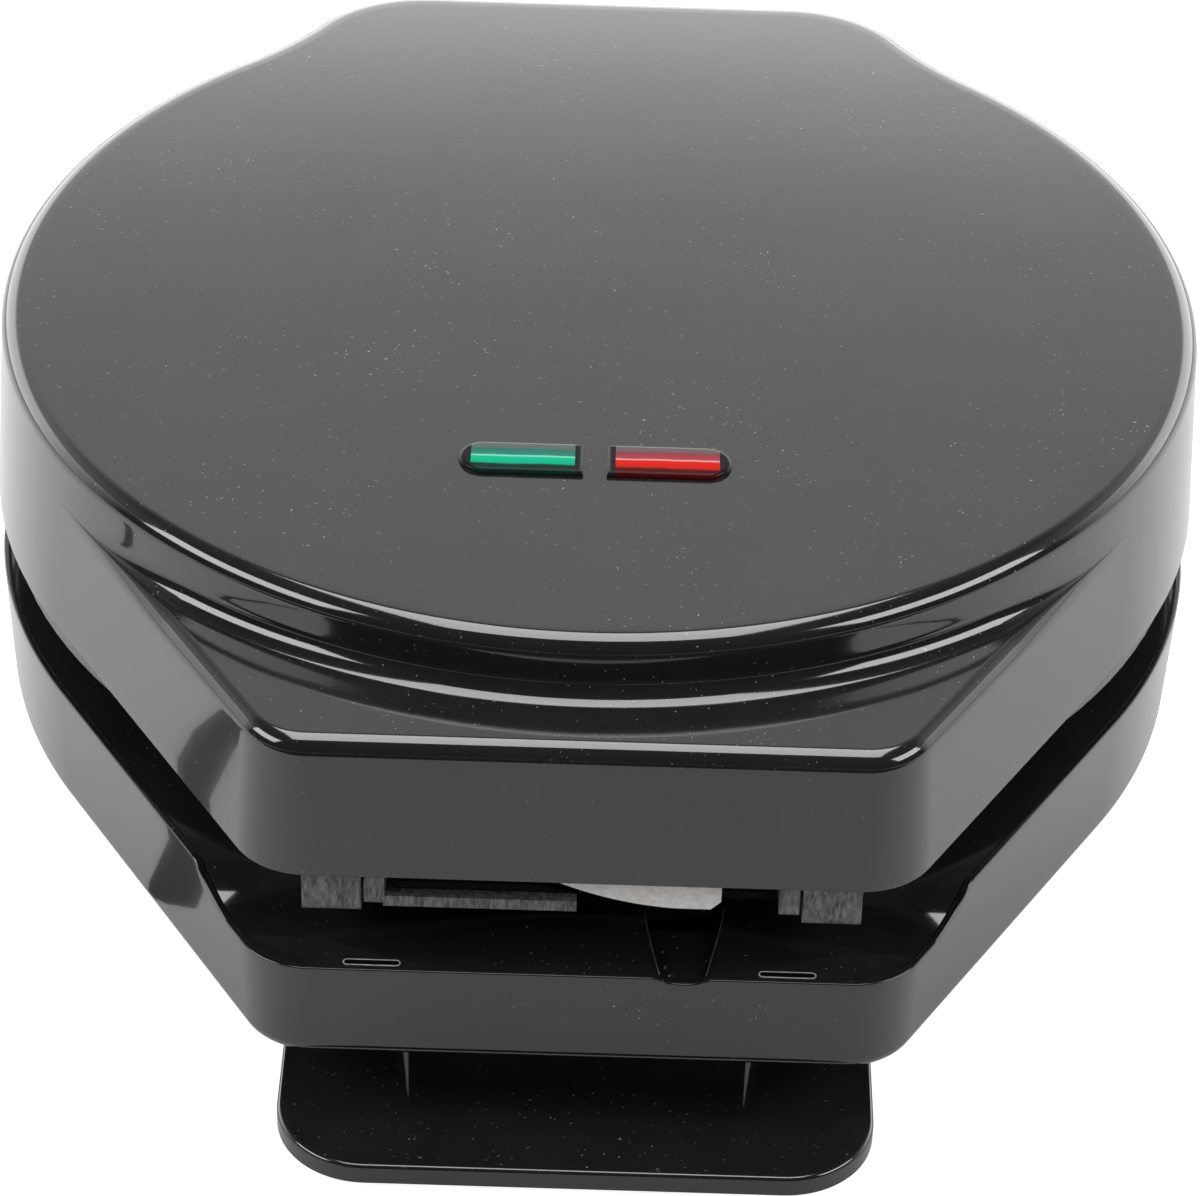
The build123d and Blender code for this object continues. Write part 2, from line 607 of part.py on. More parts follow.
gland_in = gland_y - WALL - GLAND_GRIP
cord_gland = Pos(0, (gland_y + gland_in) / 2, GLAND_Z) * Rot(90, 0, 0) * Cylinder(GLAND_R, gland_y - gland_in)
cord_gland += Pos(0, gland_in - GLAND_FLANGE_T / 2, GLAND_Z) * Rot(90, 0, 0) * Cylinder(
    GLAND_FLANGE_R, GLAND_FLANGE_T
)
cord_gland -= Pos(0, gland_y, GLAND_Z) * Rot(90, 0, 0) * Cylinder(GLAND_BORE_R, 4 * GLAND_FLANGE_R)


# Feet
def foot(front_y, facing):
    """Foot plate with its pedestal; facing is -1 at the front and 1 at the rear."""
    back_y = front_y - facing * FOOT_DEPTH
    y0, y1 = sorted((front_y, back_y))
    plate = box(-FOOT_HALF_W, FOOT_HALF_W, y0, y1, PLATE_Z0, PLATE_Z1)
    outer = plate.edges().filter_by(Axis.Z).sort_by(Axis.Y)
    outer = outer[:2] if facing < 0 else outer[-2:]
    plate = fillet(outer, FOOT_CORNER_R)
    inner = plate.edges().filter_by(Axis.Z).sort_by(Axis.Y)
    inner = [e for e in inner if abs(e.center().Y - back_y) < SEAT]
    plate = fillet(inner, FOOT_INNER_R)
    top = plate.edges().filter_by(lambda e: abs(e.bounding_box().min.Z - PLATE_Z1) < SEAT)
    plate = fillet(top, FOOT_EDGE)
    near = front_y - facing * PEDESTAL_SETBACK
    far = near - facing * PEDESTAL_DEPTH
    y0, y1 = sorted((near, far))
    pedestal = box(-PEDESTAL_HALF_W, PEDESTAL_HALF_W, y0, y1, PLATE_Z1 - 1, FLOOR_Z)
    pedestal = fillet(pedestal.edges().filter_by(Axis.Z), PEDESTAL_CORNER_R)
    piece = plate + pedestal
    for s in (1, -1):
        y = (y0 + y1) / 2
        piece -= post(s * FOOT_SCREW_X, y, PLATE_Z0 - 1, PLATE_Z1 + FOOT_SCREW_SINK, SCREW_HEAD_R + HEAD_CLEAR)
        piece -= post(s * FOOT_SCREW_X, y, PLATE_Z0, FLOOR_Z + 1, SCREW_R + SCREW_FIT)
        pad_y = front_y - facing * PAD_SETBACK
        piece -= post(s * PAD_X, pad_y, PLATE_Z0 - 1, PLATE_Z1 - PEG_ROOF, PEG_R + PIN_FIT)
    return piece


front_foot = foot(FOOT_FRONT_Y, -1)
rear_foot = foot(REAR_FOOT_Y, 1)
foot_head_z = PLATE_Z1 + FOOT_SCREW_SINK - SCREW_HEAD_H
foot_screws = joined([screw_up(x, y, foot_head_z, FOOT_BOSS_Z - 2 * THREAD_END) for x, y in FOOT_SCREWS])


def rubber_foot(x, y):
    pad = post(x, y, 0, PLATE_Z0, PAD_R)
    pad = fillet(pad.edges().filter_by(lambda e: abs(e.center().Z) < SEAT), PAD_EDGE)
    return pad + post(x, y, PLATE_Z0, PLATE_Z1 - PEG_ROOF - SEAT, PEG_R)


rubber_feet = joined(
    [
        rubber_foot(s * PAD_X, y)
        for s in (1, -1)
        for y in (FOOT_FRONT_Y + PAD_SETBACK, REAR_FOOT_Y - PAD_SETBACK)
    ]
)
base_deck_screws = joined(
    [screw_up(x, y, FLOOR_HEAD_Z - SCREW_HEAD_H, DECK_BOSS_Z + SCREW_BITE) for x, y in DECK_SCREWS]
)


# Hinges
def span(side, x0, x1):
    return tuple(sorted((side * x0, side * x1)))


deck_z = RIM_Z - DECK_RECESS
brackets = []
pins = []
arms = []
bracket_screws = []
arm_screws = []
for s in (1, -1):
    flange = box(
        *span(s, BRACKET_X0, HINGE_X1), HINGE_Y - BRACKET_FRONT, HINGE_Y + KNUCKLE_R - 0.4, deck_z, deck_z + BRACKET_T
    )
    for x0 in (HINGE_X0, HINGE_X1 - EAR_W):
        flange += box(*span(s, x0, x0 + EAR_W), HINGE_Y - KNUCKLE_R, HINGE_Y + KNUCKLE_R, deck_z + 0.4, HINGE_Z)
        flange += rod(*span(s, x0, x0 + EAR_W), HINGE_Y, HINGE_Z, KNUCKLE_R)
    flange -= rod(*span(s, HINGE_X0 - 1, HINGE_X1 + 1), HINGE_Y, HINGE_Z, PIN_R + PIN_FIT)
    for x, y in BRACKET_SCREWS:
        flange -= post(s * x, y, deck_z - 1, deck_z + 3, SCREW_R + SCREW_FIT)
        bracket_screws.append(
            post(s * x, y, deck_z + BRACKET_T, deck_z + BRACKET_T + HINGE_HEAD_H, HINGE_HEAD_R)
            + post(s * x, y, deck_z - HINGE_SCREW_L, deck_z + BRACKET_T, SCREW_R)
        )
    brackets.append(flange)
    pins.append(rod(*span(s, HINGE_X0 - 0.6, HINGE_X1 + 0.6), HINGE_Y, HINGE_Z, PIN_R))
    arm_x0 = HINGE_X0 + EAR_W + EAR_GAP
    plate = box(
        *span(s, ARM_X0, ARM_X1), HINGE_Y - ARM_FRONT, HINGE_Y + ARM_BACK, UPPER_DECK_Z0 - BRACKET_T, UPPER_DECK_Z0
    )
    plate = plate & (Pos(0, 0, -5) * extrude(outline(-LIP - 0.6, UPPER_RIM_Z), 10))
    arm = plate + box(
        *span(s, arm_x0, arm_x0 + ARM_W), HINGE_Y - KNUCKLE_R, HINGE_Y + KNUCKLE_R, HINGE_Z, UPPER_DECK_Z0 - 0.4
    )
    arm += rod(*span(s, arm_x0, arm_x0 + ARM_W), HINGE_Y, HINGE_Z, KNUCKLE_R)
    arm -= rod(*span(s, arm_x0 - 1, arm_x0 + ARM_W + 1), HINGE_Y, HINGE_Z, PIN_R + PIN_RUN)
    for x, y in ARM_SCREWS:
        arm -= post(s * x, y, UPPER_DECK_Z0 - 3, UPPER_DECK_Z0 + 1, SCREW_R + SCREW_FIT)
        arm_screws.append(
            post(s * x, y, UPPER_DECK_Z0 - BRACKET_T - HINGE_HEAD_H, UPPER_DECK_Z0 - BRACKET_T, HINGE_HEAD_R)
            + post(s * x, y, UPPER_DECK_Z0 - BRACKET_T, UPPER_DECK_Z1 + SCREW_BITE, SCREW_R)
        )
    arms.append(arm)
hinge_brackets = joined(brackets)
hinge_pins = joined(pins)
hinge_arms = joined(arms)
hinge_screws = joined(bracket_screws)

# Lid shell
handle_block = lid_body(0, HANDLE_H)
handle_top = handle_block.edges().filter_by(lambda e: abs(e.bounding_box().min.Z - HANDLE_TOP_Z) < SEAT)
handle_block = fillet(handle_top, HANDLE_FILLET)
lid_disc = lid_body(0, LID_H, False)
disc_top = lid_disc.edges().filter_by(lambda e: abs(e.bounding_box().min.Z - LID_TOP_Z) < SEAT)
lid_disc = fillet(disc_top, TOP_FILLET)
cove_wall_r = DISC_R - HANDLE_H * tan(radians(LID_DRAFT))
cove_tip = (cove_wall_r + COVE_R, HANDLE_TOP_Z)
cove_top = (cove_wall_r - COVE_R * tan(radians(LID_DRAFT)), HANDLE_TOP_Z + COVE_R)
cove_centre = (cove_tip[0], cove_tip[1] + COVE_R)
cove_mid = (cove_centre[0] - COVE_R * cos(pi / 4), cove_centre[1] - COVE_R * sin(pi / 4))
cove_lines = [
    ThreePointArc(cove_tip, cove_mid, cove_top),
    Line(cove_top, (cove_wall_r - 2, HANDLE_TOP_Z + COVE_R)),
    Line((cove_wall_r - 2, HANDLE_TOP_Z + COVE_R), (cove_wall_r - 2, HANDLE_TOP_Z - 1)),
    Line((cove_wall_r - 2, HANDLE_TOP_Z - 1), (cove_tip[0], HANDLE_TOP_Z - 1)),
    Line((cove_tip[0], HANDLE_TOP_Z - 1), cove_tip),
]
cove = revolve(Plane.XZ * make_face(Curve() + cove_lines), Axis.Z, 360)
cove = cove & extrude(outline(-HANDLE_FILLET - HANDLE_H * tan(radians(LID_DRAFT)), UPPER_RIM_Z), LID_H)
cove = cove & box(-DISC_R, DISC_R, FRONT_Y, 0, UPPER_RIM_Z, LID_TOP_Z)
lid_shell = lid_disc + handle_block + cove

LID_DECK_SCREWS = [(s * (FRONT_CORNER_X + 6.6), CREASE_Y + 0.3) for s in (1, -1)]
lid_cavity = lid_body(-WALL, HANDLE_H - WALL) + lid_body(-WALL, LID_H - WALL, False)
lid_shell -= lid_cavity
lid_shell -= lid_body(-LIP, DECK_UNDER)
ceiling_z = LID_TOP_Z - WALL
boss_room = lid_body(-LIP, LID_H - 1, False) + lid_body(-LIP, HANDLE_H - 1)
for x, y in LID_DECK_SCREWS:
    lid_shell += post(x, y, UPPER_DECK_Z1, HANDLE_TOP_Z - 1, BOSS_R)
for s in (1, -1):
    for x, y in ARM_SCREWS:
        lid_shell += post(s * x, y, UPPER_DECK_Z1, LID_TOP_Z - 1, BOSS_R) & boss_room
    lid_shell += post(s * HOLDER_SCREW_X, LENS_Y, ceiling_z - LENS_FLANGE_T, LID_TOP_Z - 1, BOSS_R)
for x, y in LID_DECK_SCREWS + [(s * x, y) for s in (1, -1) for x, y in ARM_SCREWS]:
    lid_shell -= post(x, y, UPPER_DECK_Z1 - 1, UPPER_DECK_Z1 + SCREW_BITE + THREAD_END, SCREW_R + SCREW_FIT)


def lens_shape(side, grow, z0, z1):
    xs = sorted((side * (LENS_X0 - grow), side * (LENS_X1 - LENS_HALF_W)))
    shape = box(xs[0], xs[1], LENS_Y - LENS_HALF_W - grow, LENS_Y + LENS_HALF_W + grow, z0, z1)
    return shape + post(side * (LENS_X1 - LENS_HALF_W), LENS_Y, z0, z1, LENS_HALF_W + grow)


flange_z = ceiling_z - LENS_FLANGE_T
holder_z = flange_z - HOLDER_H
lenses = {}
lamps = {}
for side in (1, -1):
    lid_shell -= lens_shape(side, LENS_FIT, ceiling_z - 1, LID_TOP_Z + 1)
    body = lens_shape(side, 0, flange_z, LID_TOP_Z + LENS_PROUD)
    crown = body.edges().filter_by(lambda e: abs(e.bounding_box().min.Z - LID_TOP_Z - LENS_PROUD) < SEAT)
    body = fillet(crown, LENS_EDGE)
    lenses[side] = body + lens_shape(side, LENS_FLANGE, flange_z, ceiling_z)
    x_mid = side * (LENS_X0 + LENS_X1) / 2
    lamps[side] = rod(x_mid - LAMP_L / 2, x_mid + LAMP_L / 2, LENS_Y, flange_z - 2 * LAMP_R, LAMP_R)
    lid_shell -= post(side * HOLDER_SCREW_X, LENS_Y, flange_z - 1, LID_TOP_Z - 2, SCREW_R + SCREW_FIT)
red_lens = lenses[1]
green_lens = lenses[-1]
red_lamp = lamps[1]
green_lamp = lamps[-1]
lamp_holder = box(
    -HOLDER_X, HOLDER_X, LENS_Y - HOLDER_HALF_D, LENS_Y + HOLDER_HALF_D, holder_z, flange_z
)
lamp_holder += box(
    -HOLDER_EAR_X, HOLDER_EAR_X, LENS_Y - HOLDER_HALF_D / 2, LENS_Y + HOLDER_HALF_D / 2, flange_z - 2, flange_z
)
holder_screws = []
for side in (1, -1):
    x_mid = side * (LENS_X0 + LENS_X1) / 2
    half = LAMP_L / 2 + 0.3
    lamp_holder -= box(
        x_mid - half,
        x_mid + half,
        LENS_Y - LAMP_R - OPENING_CLEAR,
        LENS_Y + LAMP_R + OPENING_CLEAR,
        holder_z + HOLDER_WALL,
        flange_z + 1,
    )
    lamp_holder -= post(side * HOLDER_SCREW_X, LENS_Y, flange_z - 3, flange_z + 1, SCREW_R + SCREW_FIT)
    holder_screws.append(screw_up(side * HOLDER_SCREW_X, LENS_Y, flange_z - 2 - SCREW_HEAD_H, LID_TOP_Z - 2.3))
    lamp_rest = box(x_mid - half, x_mid + half, LENS_Y - 1, LENS_Y + 1, holder_z + 1, flange_z - 3 * LAMP_R)
    lamp_holder += lamp_rest
lamp_holder_screws = joined(holder_screws)

# Upper deck, its screws, buffer and latch
upper_deck = lid_body(-LIP - SEAT, DECK_UNDER)
upper_deck -= box(-2 * DISC_R, 2 * DISC_R, -2 * DISC_R, 2 * DISC_R, UPPER_RIM_Z - 1, UPPER_DECK_Z0)
upper_deck -= post(0, 0, UPPER_RIM_Z - 1, UPPER_DECK_Z1 + 1, UPPER_NECK_R + OPENING_CLEAR)
for x, y in LID_DECK_SCREWS + [(s * x, y) for s in (1, -1) for x, y in ARM_SCREWS]:
    upper_deck -= post(x, y, UPPER_RIM_Z - 1, UPPER_DECK_Z1 + 1, SCREW_R + SCREW_FIT)
for x in BUFFER_PEGS:
    upper_deck -= post(x, (BUFFER_Y0 + BUFFER_Y1) / 2, UPPER_RIM_Z - 1, UPPER_DECK_Z1 + 1, BUFFER_PEG_R + PIN_FIT)
lid_deck_screws = joined(
    [screw_up(x, y, UPPER_DECK_Z0 - SCREW_HEAD_H, UPPER_DECK_Z1 + SCREW_BITE) for x, y in LID_DECK_SCREWS]
    + arm_screws
)

buffer_lines = [
    Line((BUFFER_X0, UPPER_DECK_Z0), (BUFFER_X1, UPPER_DECK_Z0)),
    Line((BUFFER_X1, UPPER_DECK_Z0), (BUFFER_X1, BUFFER_Z + BUFFER_CORNER)),
    Line((BUFFER_X1, BUFFER_Z + BUFFER_CORNER), (BUFFER_X1 - BUFFER_CORNER, BUFFER_Z)),
    Line((BUFFER_X1 - BUFFER_CORNER, BUFFER_Z), (BUFFER_LOW_X, BUFFER_Z)),
    ThreePointArc((BUFFER_LOW_X, BUFFER_Z), BUFFER_MID, (BUFFER_X0, UPPER_DECK_Z0)),
]
buffer_face = make_face(Curve() + buffer_lines)
handle_buffer = Pos(0, BUFFER_Y1, 0) * Rot(90, 0, 0) * extrude(buffer_face, BUFFER_Y1 - BUFFER_Y0)
for x in BUFFER_PEGS:
    handle_buffer += post(x, (BUFFER_Y0 + BUFFER_Y1) / 2, UPPER_DECK_Z0, UPPER_DECK_Z1 + 0.8, BUFFER_PEG_R)

lugs = []
pins = []
clip = rod(-CLIP_X0 - 0.2, CLIP_X0 + 0.2, LATCH_Y, LATCH_Z, CLIP_ROD_R)
clip += box(-CLIP_X0 - 0.2, CLIP_BAR_END, CLIP_BAR_Y0, CLIP_BAR_Y1, CLIP_Z0, CLIP_Z0 + CLIP_BAR_H)
for s in (1, -1):
    x0, x1 = sorted((s * LUG_X0, s * LUG_X1))
    lug = box(x0, x1, LUG_Y0, LUG_Y1, LUG_Z, UPPER_DECK_Z0)
    lug = fillet(lug.edges().filter_by(Axis.X).group_by(Axis.Z)[0], LUG_EDGE)
    lugs.append(lug - rod(x0 - 1, x1 + 1, LATCH_Y, LATCH_Z, LATCH_PIN_R + PIN_FIT))
    x0, x1 = sorted((s * CLIP_X0, s * CLIP_X1))
    ear = box(x0, x1, LUG_Y0, LUG_Y1, CLIP_Z0, CLIP_Z1)
    ear = fillet(ear.edges().filter_by(Axis.X), CLIP_EDGE)
    p0, p1 = sorted((s * (CLIP_X0 + 0.6), s * (CLIP_X1 + 1)))
    clip += ear
    clip -= rod(p0, p1, LATCH_Y, LATCH_Z, LATCH_PIN_R + PIN_RUN)
    p0, p1 = sorted((s * (CLIP_X0 + 0.9), s * LUG_X1))
    pins.append(rod(p0, p1, LATCH_Y, LATCH_Z, LATCH_PIN_R))
latch_lugs = joined(lugs)
latch_pins = joined(pins)
latch_clip = clip

os.makedirs("parts", exist_ok=True)
nodes = {
    "base_shell": base_shell,
    "lower_deck": lower_deck,
    "lower_plate": lower_plate,
    "lower_element": lower_element,
    "lower_element_clamps": lower_element_clamps,
    "lower_reflector": lower_reflector,
    "lower_plate_screws": lower_plate_screws,
    "thermostat": thermostat,
    "thermal_fuse": thermal_fuse,
    "terminal_block": terminal_block,
    "cord_gland": cord_gland,
    "front_foot": front_foot,
    "rear_foot": rear_foot,
    "rubber_feet": rubber_feet,
    "foot_screws": foot_screws,
    "base_deck_screws": base_deck_screws,
    "hinge_brackets": hinge_brackets,
    "hinge_pins": hinge_pins,
    "hinge_screws": hinge_screws,
    "lid_shell": lid_shell,
    "upper_deck": upper_deck,
    "upper_plate": upper_plate,
    "upper_element": upper_element,
    "upper_element_clamps": upper_element_clamps,
    "upper_reflector": upper_reflector,
    "upper_plate_screws": upper_plate_screws,
    "lid_deck_screws": lid_deck_screws,
    "hinge_arms": hinge_arms,
    "green_lens": green_lens,
    "red_lens": red_lens,
    "green_lamp": green_lamp,
    "red_lamp": red_lamp,
    "lamp_holder": lamp_holder,
    "lamp_holder_screws": lamp_holder_screws,
    "handle_buffer": handle_buffer,
    "latch_lugs": latch_lugs,
    "latch_pins": latch_pins,
    "latch_clip": latch_clip,
}
for name, shape in nodes.items():
    export_step(Pos(0, CENTRE_SHIFT_Y, 0) * shape, f"parts/{name}.step")
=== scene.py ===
from math import acos, atan2, cos, hypot, pi, radians, sin, sqrt, tan

import bmesh
import bpy
from mathutils import Matrix, Vector


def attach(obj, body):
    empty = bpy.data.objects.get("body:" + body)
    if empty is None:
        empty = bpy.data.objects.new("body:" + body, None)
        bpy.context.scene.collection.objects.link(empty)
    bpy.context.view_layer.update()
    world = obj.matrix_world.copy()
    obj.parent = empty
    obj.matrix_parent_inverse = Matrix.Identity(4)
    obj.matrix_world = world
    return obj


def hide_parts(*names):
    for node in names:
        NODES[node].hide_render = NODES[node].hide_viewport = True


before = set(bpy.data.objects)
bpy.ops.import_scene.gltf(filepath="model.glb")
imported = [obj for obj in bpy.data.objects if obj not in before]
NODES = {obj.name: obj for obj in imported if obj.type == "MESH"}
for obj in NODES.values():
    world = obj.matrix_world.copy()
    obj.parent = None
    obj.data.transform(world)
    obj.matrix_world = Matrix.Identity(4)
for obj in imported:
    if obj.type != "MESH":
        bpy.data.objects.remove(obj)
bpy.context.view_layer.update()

# Lengths below are millimetres in the disc-centred frame; these carry them into the shared frame.
MM = 0.001
SHIFT_Y = 11.1

# Plan outline of both shells
DISC_R = 105.0
FRONT_Y = -118.2
FRONT_CORNER_R = 13.2
FRONT_CORNER_X = 42.9
REAR_Y = 106.3
REAR_CORNER_R = 26.9
REAR_CORNER_X = 34.4
REAR_BLEND_R = 70.9
STATION_STEP = 1.1

# Heights, drafts and walls
FLOOR_Z = 18.0
RIM_Z = 42.9
HANDLE_DROP = 5.4
UPPER_RIM_Z = 56.6
HANDLE_TOP_Z = 81.7
LID_TOP_Z = 91.8
LID_SLOPE = tan(radians(3.9))
BASE_SLOPE = tan(radians(2.2))
WALL = 2.4
LIP = 1.25
DECK_RECESS = 0.3
DECK_UNDER = 2.5
LIP_EDGE = 0.28
TOP_FILLET = 3.0
HANDLE_FILLET = 2.7
COVE_R = 3.4
BOTTOM_FILLET = 3.0
CREASE_Y = -98.6
SCOOP_R = 15.0
SCOOP_RUN = sqrt(SCOOP_R ** 2 - (SCOOP_R - HANDLE_DROP) ** 2)
RELIEF_Y = 103.2
RELIEF_HALF_W = 54.0
RELIEF_Z = 40.2
NOTCH_X = 16.3
NOTCH_HALF_W = 3.65
NOTCH_DEPTH = 1.1
CAP_SHRINK = (0.985, 0.93, 0.6, 0.25)
EDGE_EASE = LIP_EDGE * 0.3
DECK_GAP = 0.05
CORE_GAP = 0.2
CORE_FILLET = 1.0
FILLET_ROOM = 0.5

# Lenses, gloss and dust
LENS_Y = -53.85
LENS_HALF_W = 4.15
LENS_BAR_X0 = 3.3
LENS_BAR_X1 = 20.2
LENS_WANDER = 0.6
LENS_END_COLOR = (0.012, 0.012, 0.012, 1.0)
GLOSS_ROUGH = 0.10
DUST_COLOR = (0.32, 0.32, 0.32, 1.0)

# Slots and channel in the lower handle deck
SLOT_INNER_X = 28.4
SLOT_OUTER_X = 37.4
SLOT_FRONT_Y = -116.45
SLOT_BACK_Y = -115.15
SLOT_BEAD_R = 0.085
SLOT_BEAD_LIFT = 0.03
CHANNEL_LEFT = ((10.1, -103.4), (12.6, -116.6))
CHANNEL_RIGHT = ((23.0, -102.1), (20.0, -116.6))
CHANNEL_BEAD_R = 0.1
CHANNEL_BEAD_LIFT = 0.02

# Where the plates' flanks are bare metal
BARE_R = 86.2
BARE_TILT = 0.6


def here(x, y, z):
    """Point in the shared frame, from millimetres centred on the disc."""
    return Vector((x * MM, (y + SHIFT_Y) * MM, z * MM))


def polar(centre, r, a):
    """Point at radius r and angle a round a centre."""
    return (centre[0] + r * cos(a), centre[1] + r * sin(a))


def right_half():
    """Lines and arcs of the outline's right half, front to rear.

    A line holds its ends and its normal, an arc its centre, radius, end angles and which way it faces.
    """
    front_c = (FRONT_CORNER_X, FRONT_Y + FRONT_CORNER_R)
    a_side = atan2(front_c[1], front_c[0]) + acos((DISC_R - FRONT_CORNER_R) / hypot(*front_c))
    rear_c = (REAR_CORNER_X, REAR_Y - REAR_CORNER_R)
    d = hypot(*rear_c)
    near = DISC_R + REAR_BLEND_R
    far = REAR_CORNER_R + REAR_BLEND_R
    along = (near ** 2 - far ** 2 + d ** 2) / (2 * d)
    across = sqrt(near ** 2 - along ** 2)
    ux, uy = rear_c[0] / d, rear_c[1] / d
    blend_c = (along * ux + across * uy, along * uy - across * ux)
    a_disc = atan2(blend_c[1], blend_c[0])
    a_rear = atan2(blend_c[1] - rear_c[1], blend_c[0] - rear_c[0])
    return [
        ("line", (0.0, FRONT_Y), (FRONT_CORNER_X, FRONT_Y), (0.0, -1.0)),
        ("arc", front_c, FRONT_CORNER_R, -pi / 2, a_side, 1),
        (
            "line", polar(front_c, FRONT_CORNER_R, a_side),
            polar((0, 0), DISC_R, a_side), polar((0, 0), 1, a_side),
        ),
        ("arc", (0.0, 0.0), DISC_R, a_side, a_disc, 1),
        ("arc", blend_c, REAR_BLEND_R, a_disc + pi, a_rear + pi, -1),
        ("arc", rear_c, REAR_CORNER_R, a_rear, pi / 2, 1),
        ("line", (REAR_CORNER_X, REAR_Y), (0.0, REAR_Y), (0.0, 1.0)),
    ]


def stations(step):
    """Points round the outline with outward normals; a flag says if a point is on the handle part."""
    half = []
    for i, piece in enumerate(right_half()):
        on_handle = i < 3
        if piece[0] == "line":
            _, p, q, n = piece
            count = max(2, round(hypot(q[0] - p[0], q[1] - p[1]) / step))
            for k in range(count):
                t = k / count
                half.append((p[0] + (q[0] - p[0]) * t, p[1] + (q[1] - p[1]) * t, n[0], n[1], on_handle))
        else:
            _, c, r, a0, a1, sign = piece
            count = max(6, round(abs(a1 - a0) * r / step))
            for k in range(count):
                a = a0 + (a1 - a0) * k / count
                half.append((c[0] + r * cos(a), c[1] + r * sin(a), sign * cos(a), sign * sin(a), on_handle))
    half.append((0.0, REAR_Y, 0.0, 1.0, False))
    left = [(-x, y, -nx, ny, h) for x, y, nx, ny, h in reversed(half[1:-1])]
    return half + left


STATIONS = stations(STATION_STEP)


def ring(offset, z):
    """Closed ring of points at an outline offset; offset and z may be numbers or functions of a station."""
    points = []
    for s in STATIONS:
        o = offset(s) if callable(offset) else offset
        h = z(s) if callable(z) else z
        points.append(here(s[0] + s[2] * o, s[1] + s[3] * o, h))
    return points


def mesh_object(name, bm, body):
    """Smooth-shaded object from a bmesh, riding on a body."""
    bmesh.ops.remove_doubles(bm, verts=bm.verts, dist=1e-6)
    bmesh.ops.dissolve_degenerate(bm, edges=bm.edges, dist=1e-7)
    bmesh.ops.recalc_face_normals(bm, faces=bm.faces)
    mesh = bpy.data.meshes.new(name)
    bm.to_mesh(mesh)
    bm.free()
    obj = bpy.data.objects.new(name, mesh)
    bpy.context.scene.collection.objects.link(obj)
    for p in mesh.polygons:
        p.use_smooth = True
    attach(obj, body)
    return obj


def loft(rings):
    """Skin through closed rings, with both ends closed towards a centre point."""
    bm = bmesh.new()
    rows = [[bm.verts.new(p) for p in r] for r in rings]
    for a, b in zip(rows, rows[1:]):
        for i in range(len(a)):
            j = (i + 1) % len(a)
            bm.faces.new((a[i], a[j], b[j], b[i]))
    close(bm, rows[0])
    close(bm, rows[-1])
    return bm


def close(bm, row):
    """Close a ring with shrinking copies of it and a tip."""
    centre = here(0, 0, 0)
    centre.z = row[0].co.z
    previous = row
    for share in CAP_SHRINK:
        new = [bm.verts.new(centre.lerp(v.co, share)) for v in row]
        for i in range(len(row)):
            j = (i + 1) % len(row)
            bm.faces.new((previous[i], previous[j], new[j], new[i]))
        previous = new
    tip = bm.verts.new(centre)
    for i in range(len(row)):
        j = (i + 1) % len(row)
        bm.faces.new((previous[i], previous[j], tip))


def weighted(obj):
    """Weight the normals by face area, so that long faces shade flat."""
    mod = obj.modifiers.new("weighted", "WEIGHTED_NORMAL")
    mod.weight = 90
    mod.keep_sharp = True
    return obj


# Lid
def ledge_room(s, z):
    """How far the handle outline stands outside the disc wall at height z, along the ray to a station."""
    if not s[4]:
        return 0.0
    o = -(z - UPPER_RIM_Z) * LID_SLOPE
    return max(0.0, hypot(s[0] + s[2] * o, s[1] + s[3] * o) - (DISC_R + o))


def shrink(s):
    """Share of the handle's fillets that a station has room for."""
    room = ledge_room(s, HANDLE_TOP_Z)
    return min(1.0, room / (HANDLE_FILLET + COVE_R + FILLET_ROOM))


def disc_ring(extra, z):
    """Ring on the disc wall: where the handle stands out, the station's ray is cut at the disc instead."""
    points = []
    o = -(z - UPPER_RIM_Z) * LID_SLOPE
    for s in STATIONS:
        e = extra(s) if callable(extra) else extra
        if s[4]:
            p = (s[0] + s[2] * o, s[1] + s[3] * o)
            r = DISC_R + o + e
            k = r / hypot(*p)
            points.append(here(p[0] * k, p[1] * k, z))
        else:
            points.append(here(s[0] + s[2] * (o + e), s[1] + s[3] * (o + e), z))
    return points


def lid_rings(inset, fillet_h, cove, fillet_t, z0):
    """Rings of the lid from its rim at z0 to the top, inset from the outer skin."""
    def wall(z):
        return -inset - (z - UPPER_RIM_Z) * LID_SLOPE

    handle_z = HANDLE_TOP_Z - inset
    top_z = LID_TOP_Z - inset
    rings = []
    low = handle_z - fillet_h
    for k in range(9):
        z = z0 + (low - z0) * k / 8
        rings.append(ring(wall(z), z))
    for k in range(1, 9):
        a = pi / 2 * k / 8
        z = handle_z - fillet_h * (1 - sin(a))
        rings.append(ring(lambda s, a=a, z=z: wall(z) - fillet_h * shrink(s) * (1 - cos(a)), z))
    for k in range(9):
        a = pi / 2 * k / 8
        z = handle_z + cove * (1 - cos(a))
        rings.append(disc_ring(lambda s, a=a: -inset + cove * shrink(s) * (1 - sin(a)), z))
    start = handle_z + cove
    end = top_z - fillet_t
    for k in range(1, 5):
        rings.append(disc_ring(-inset, start + (end - start) * k / 4))
    for k in range(1, 11):
        a = pi / 2 * k / 10
        rings.append(disc_ring(-inset - fillet_t * (1 - cos(a)), end + fillet_t * sin(a)))
    return rings


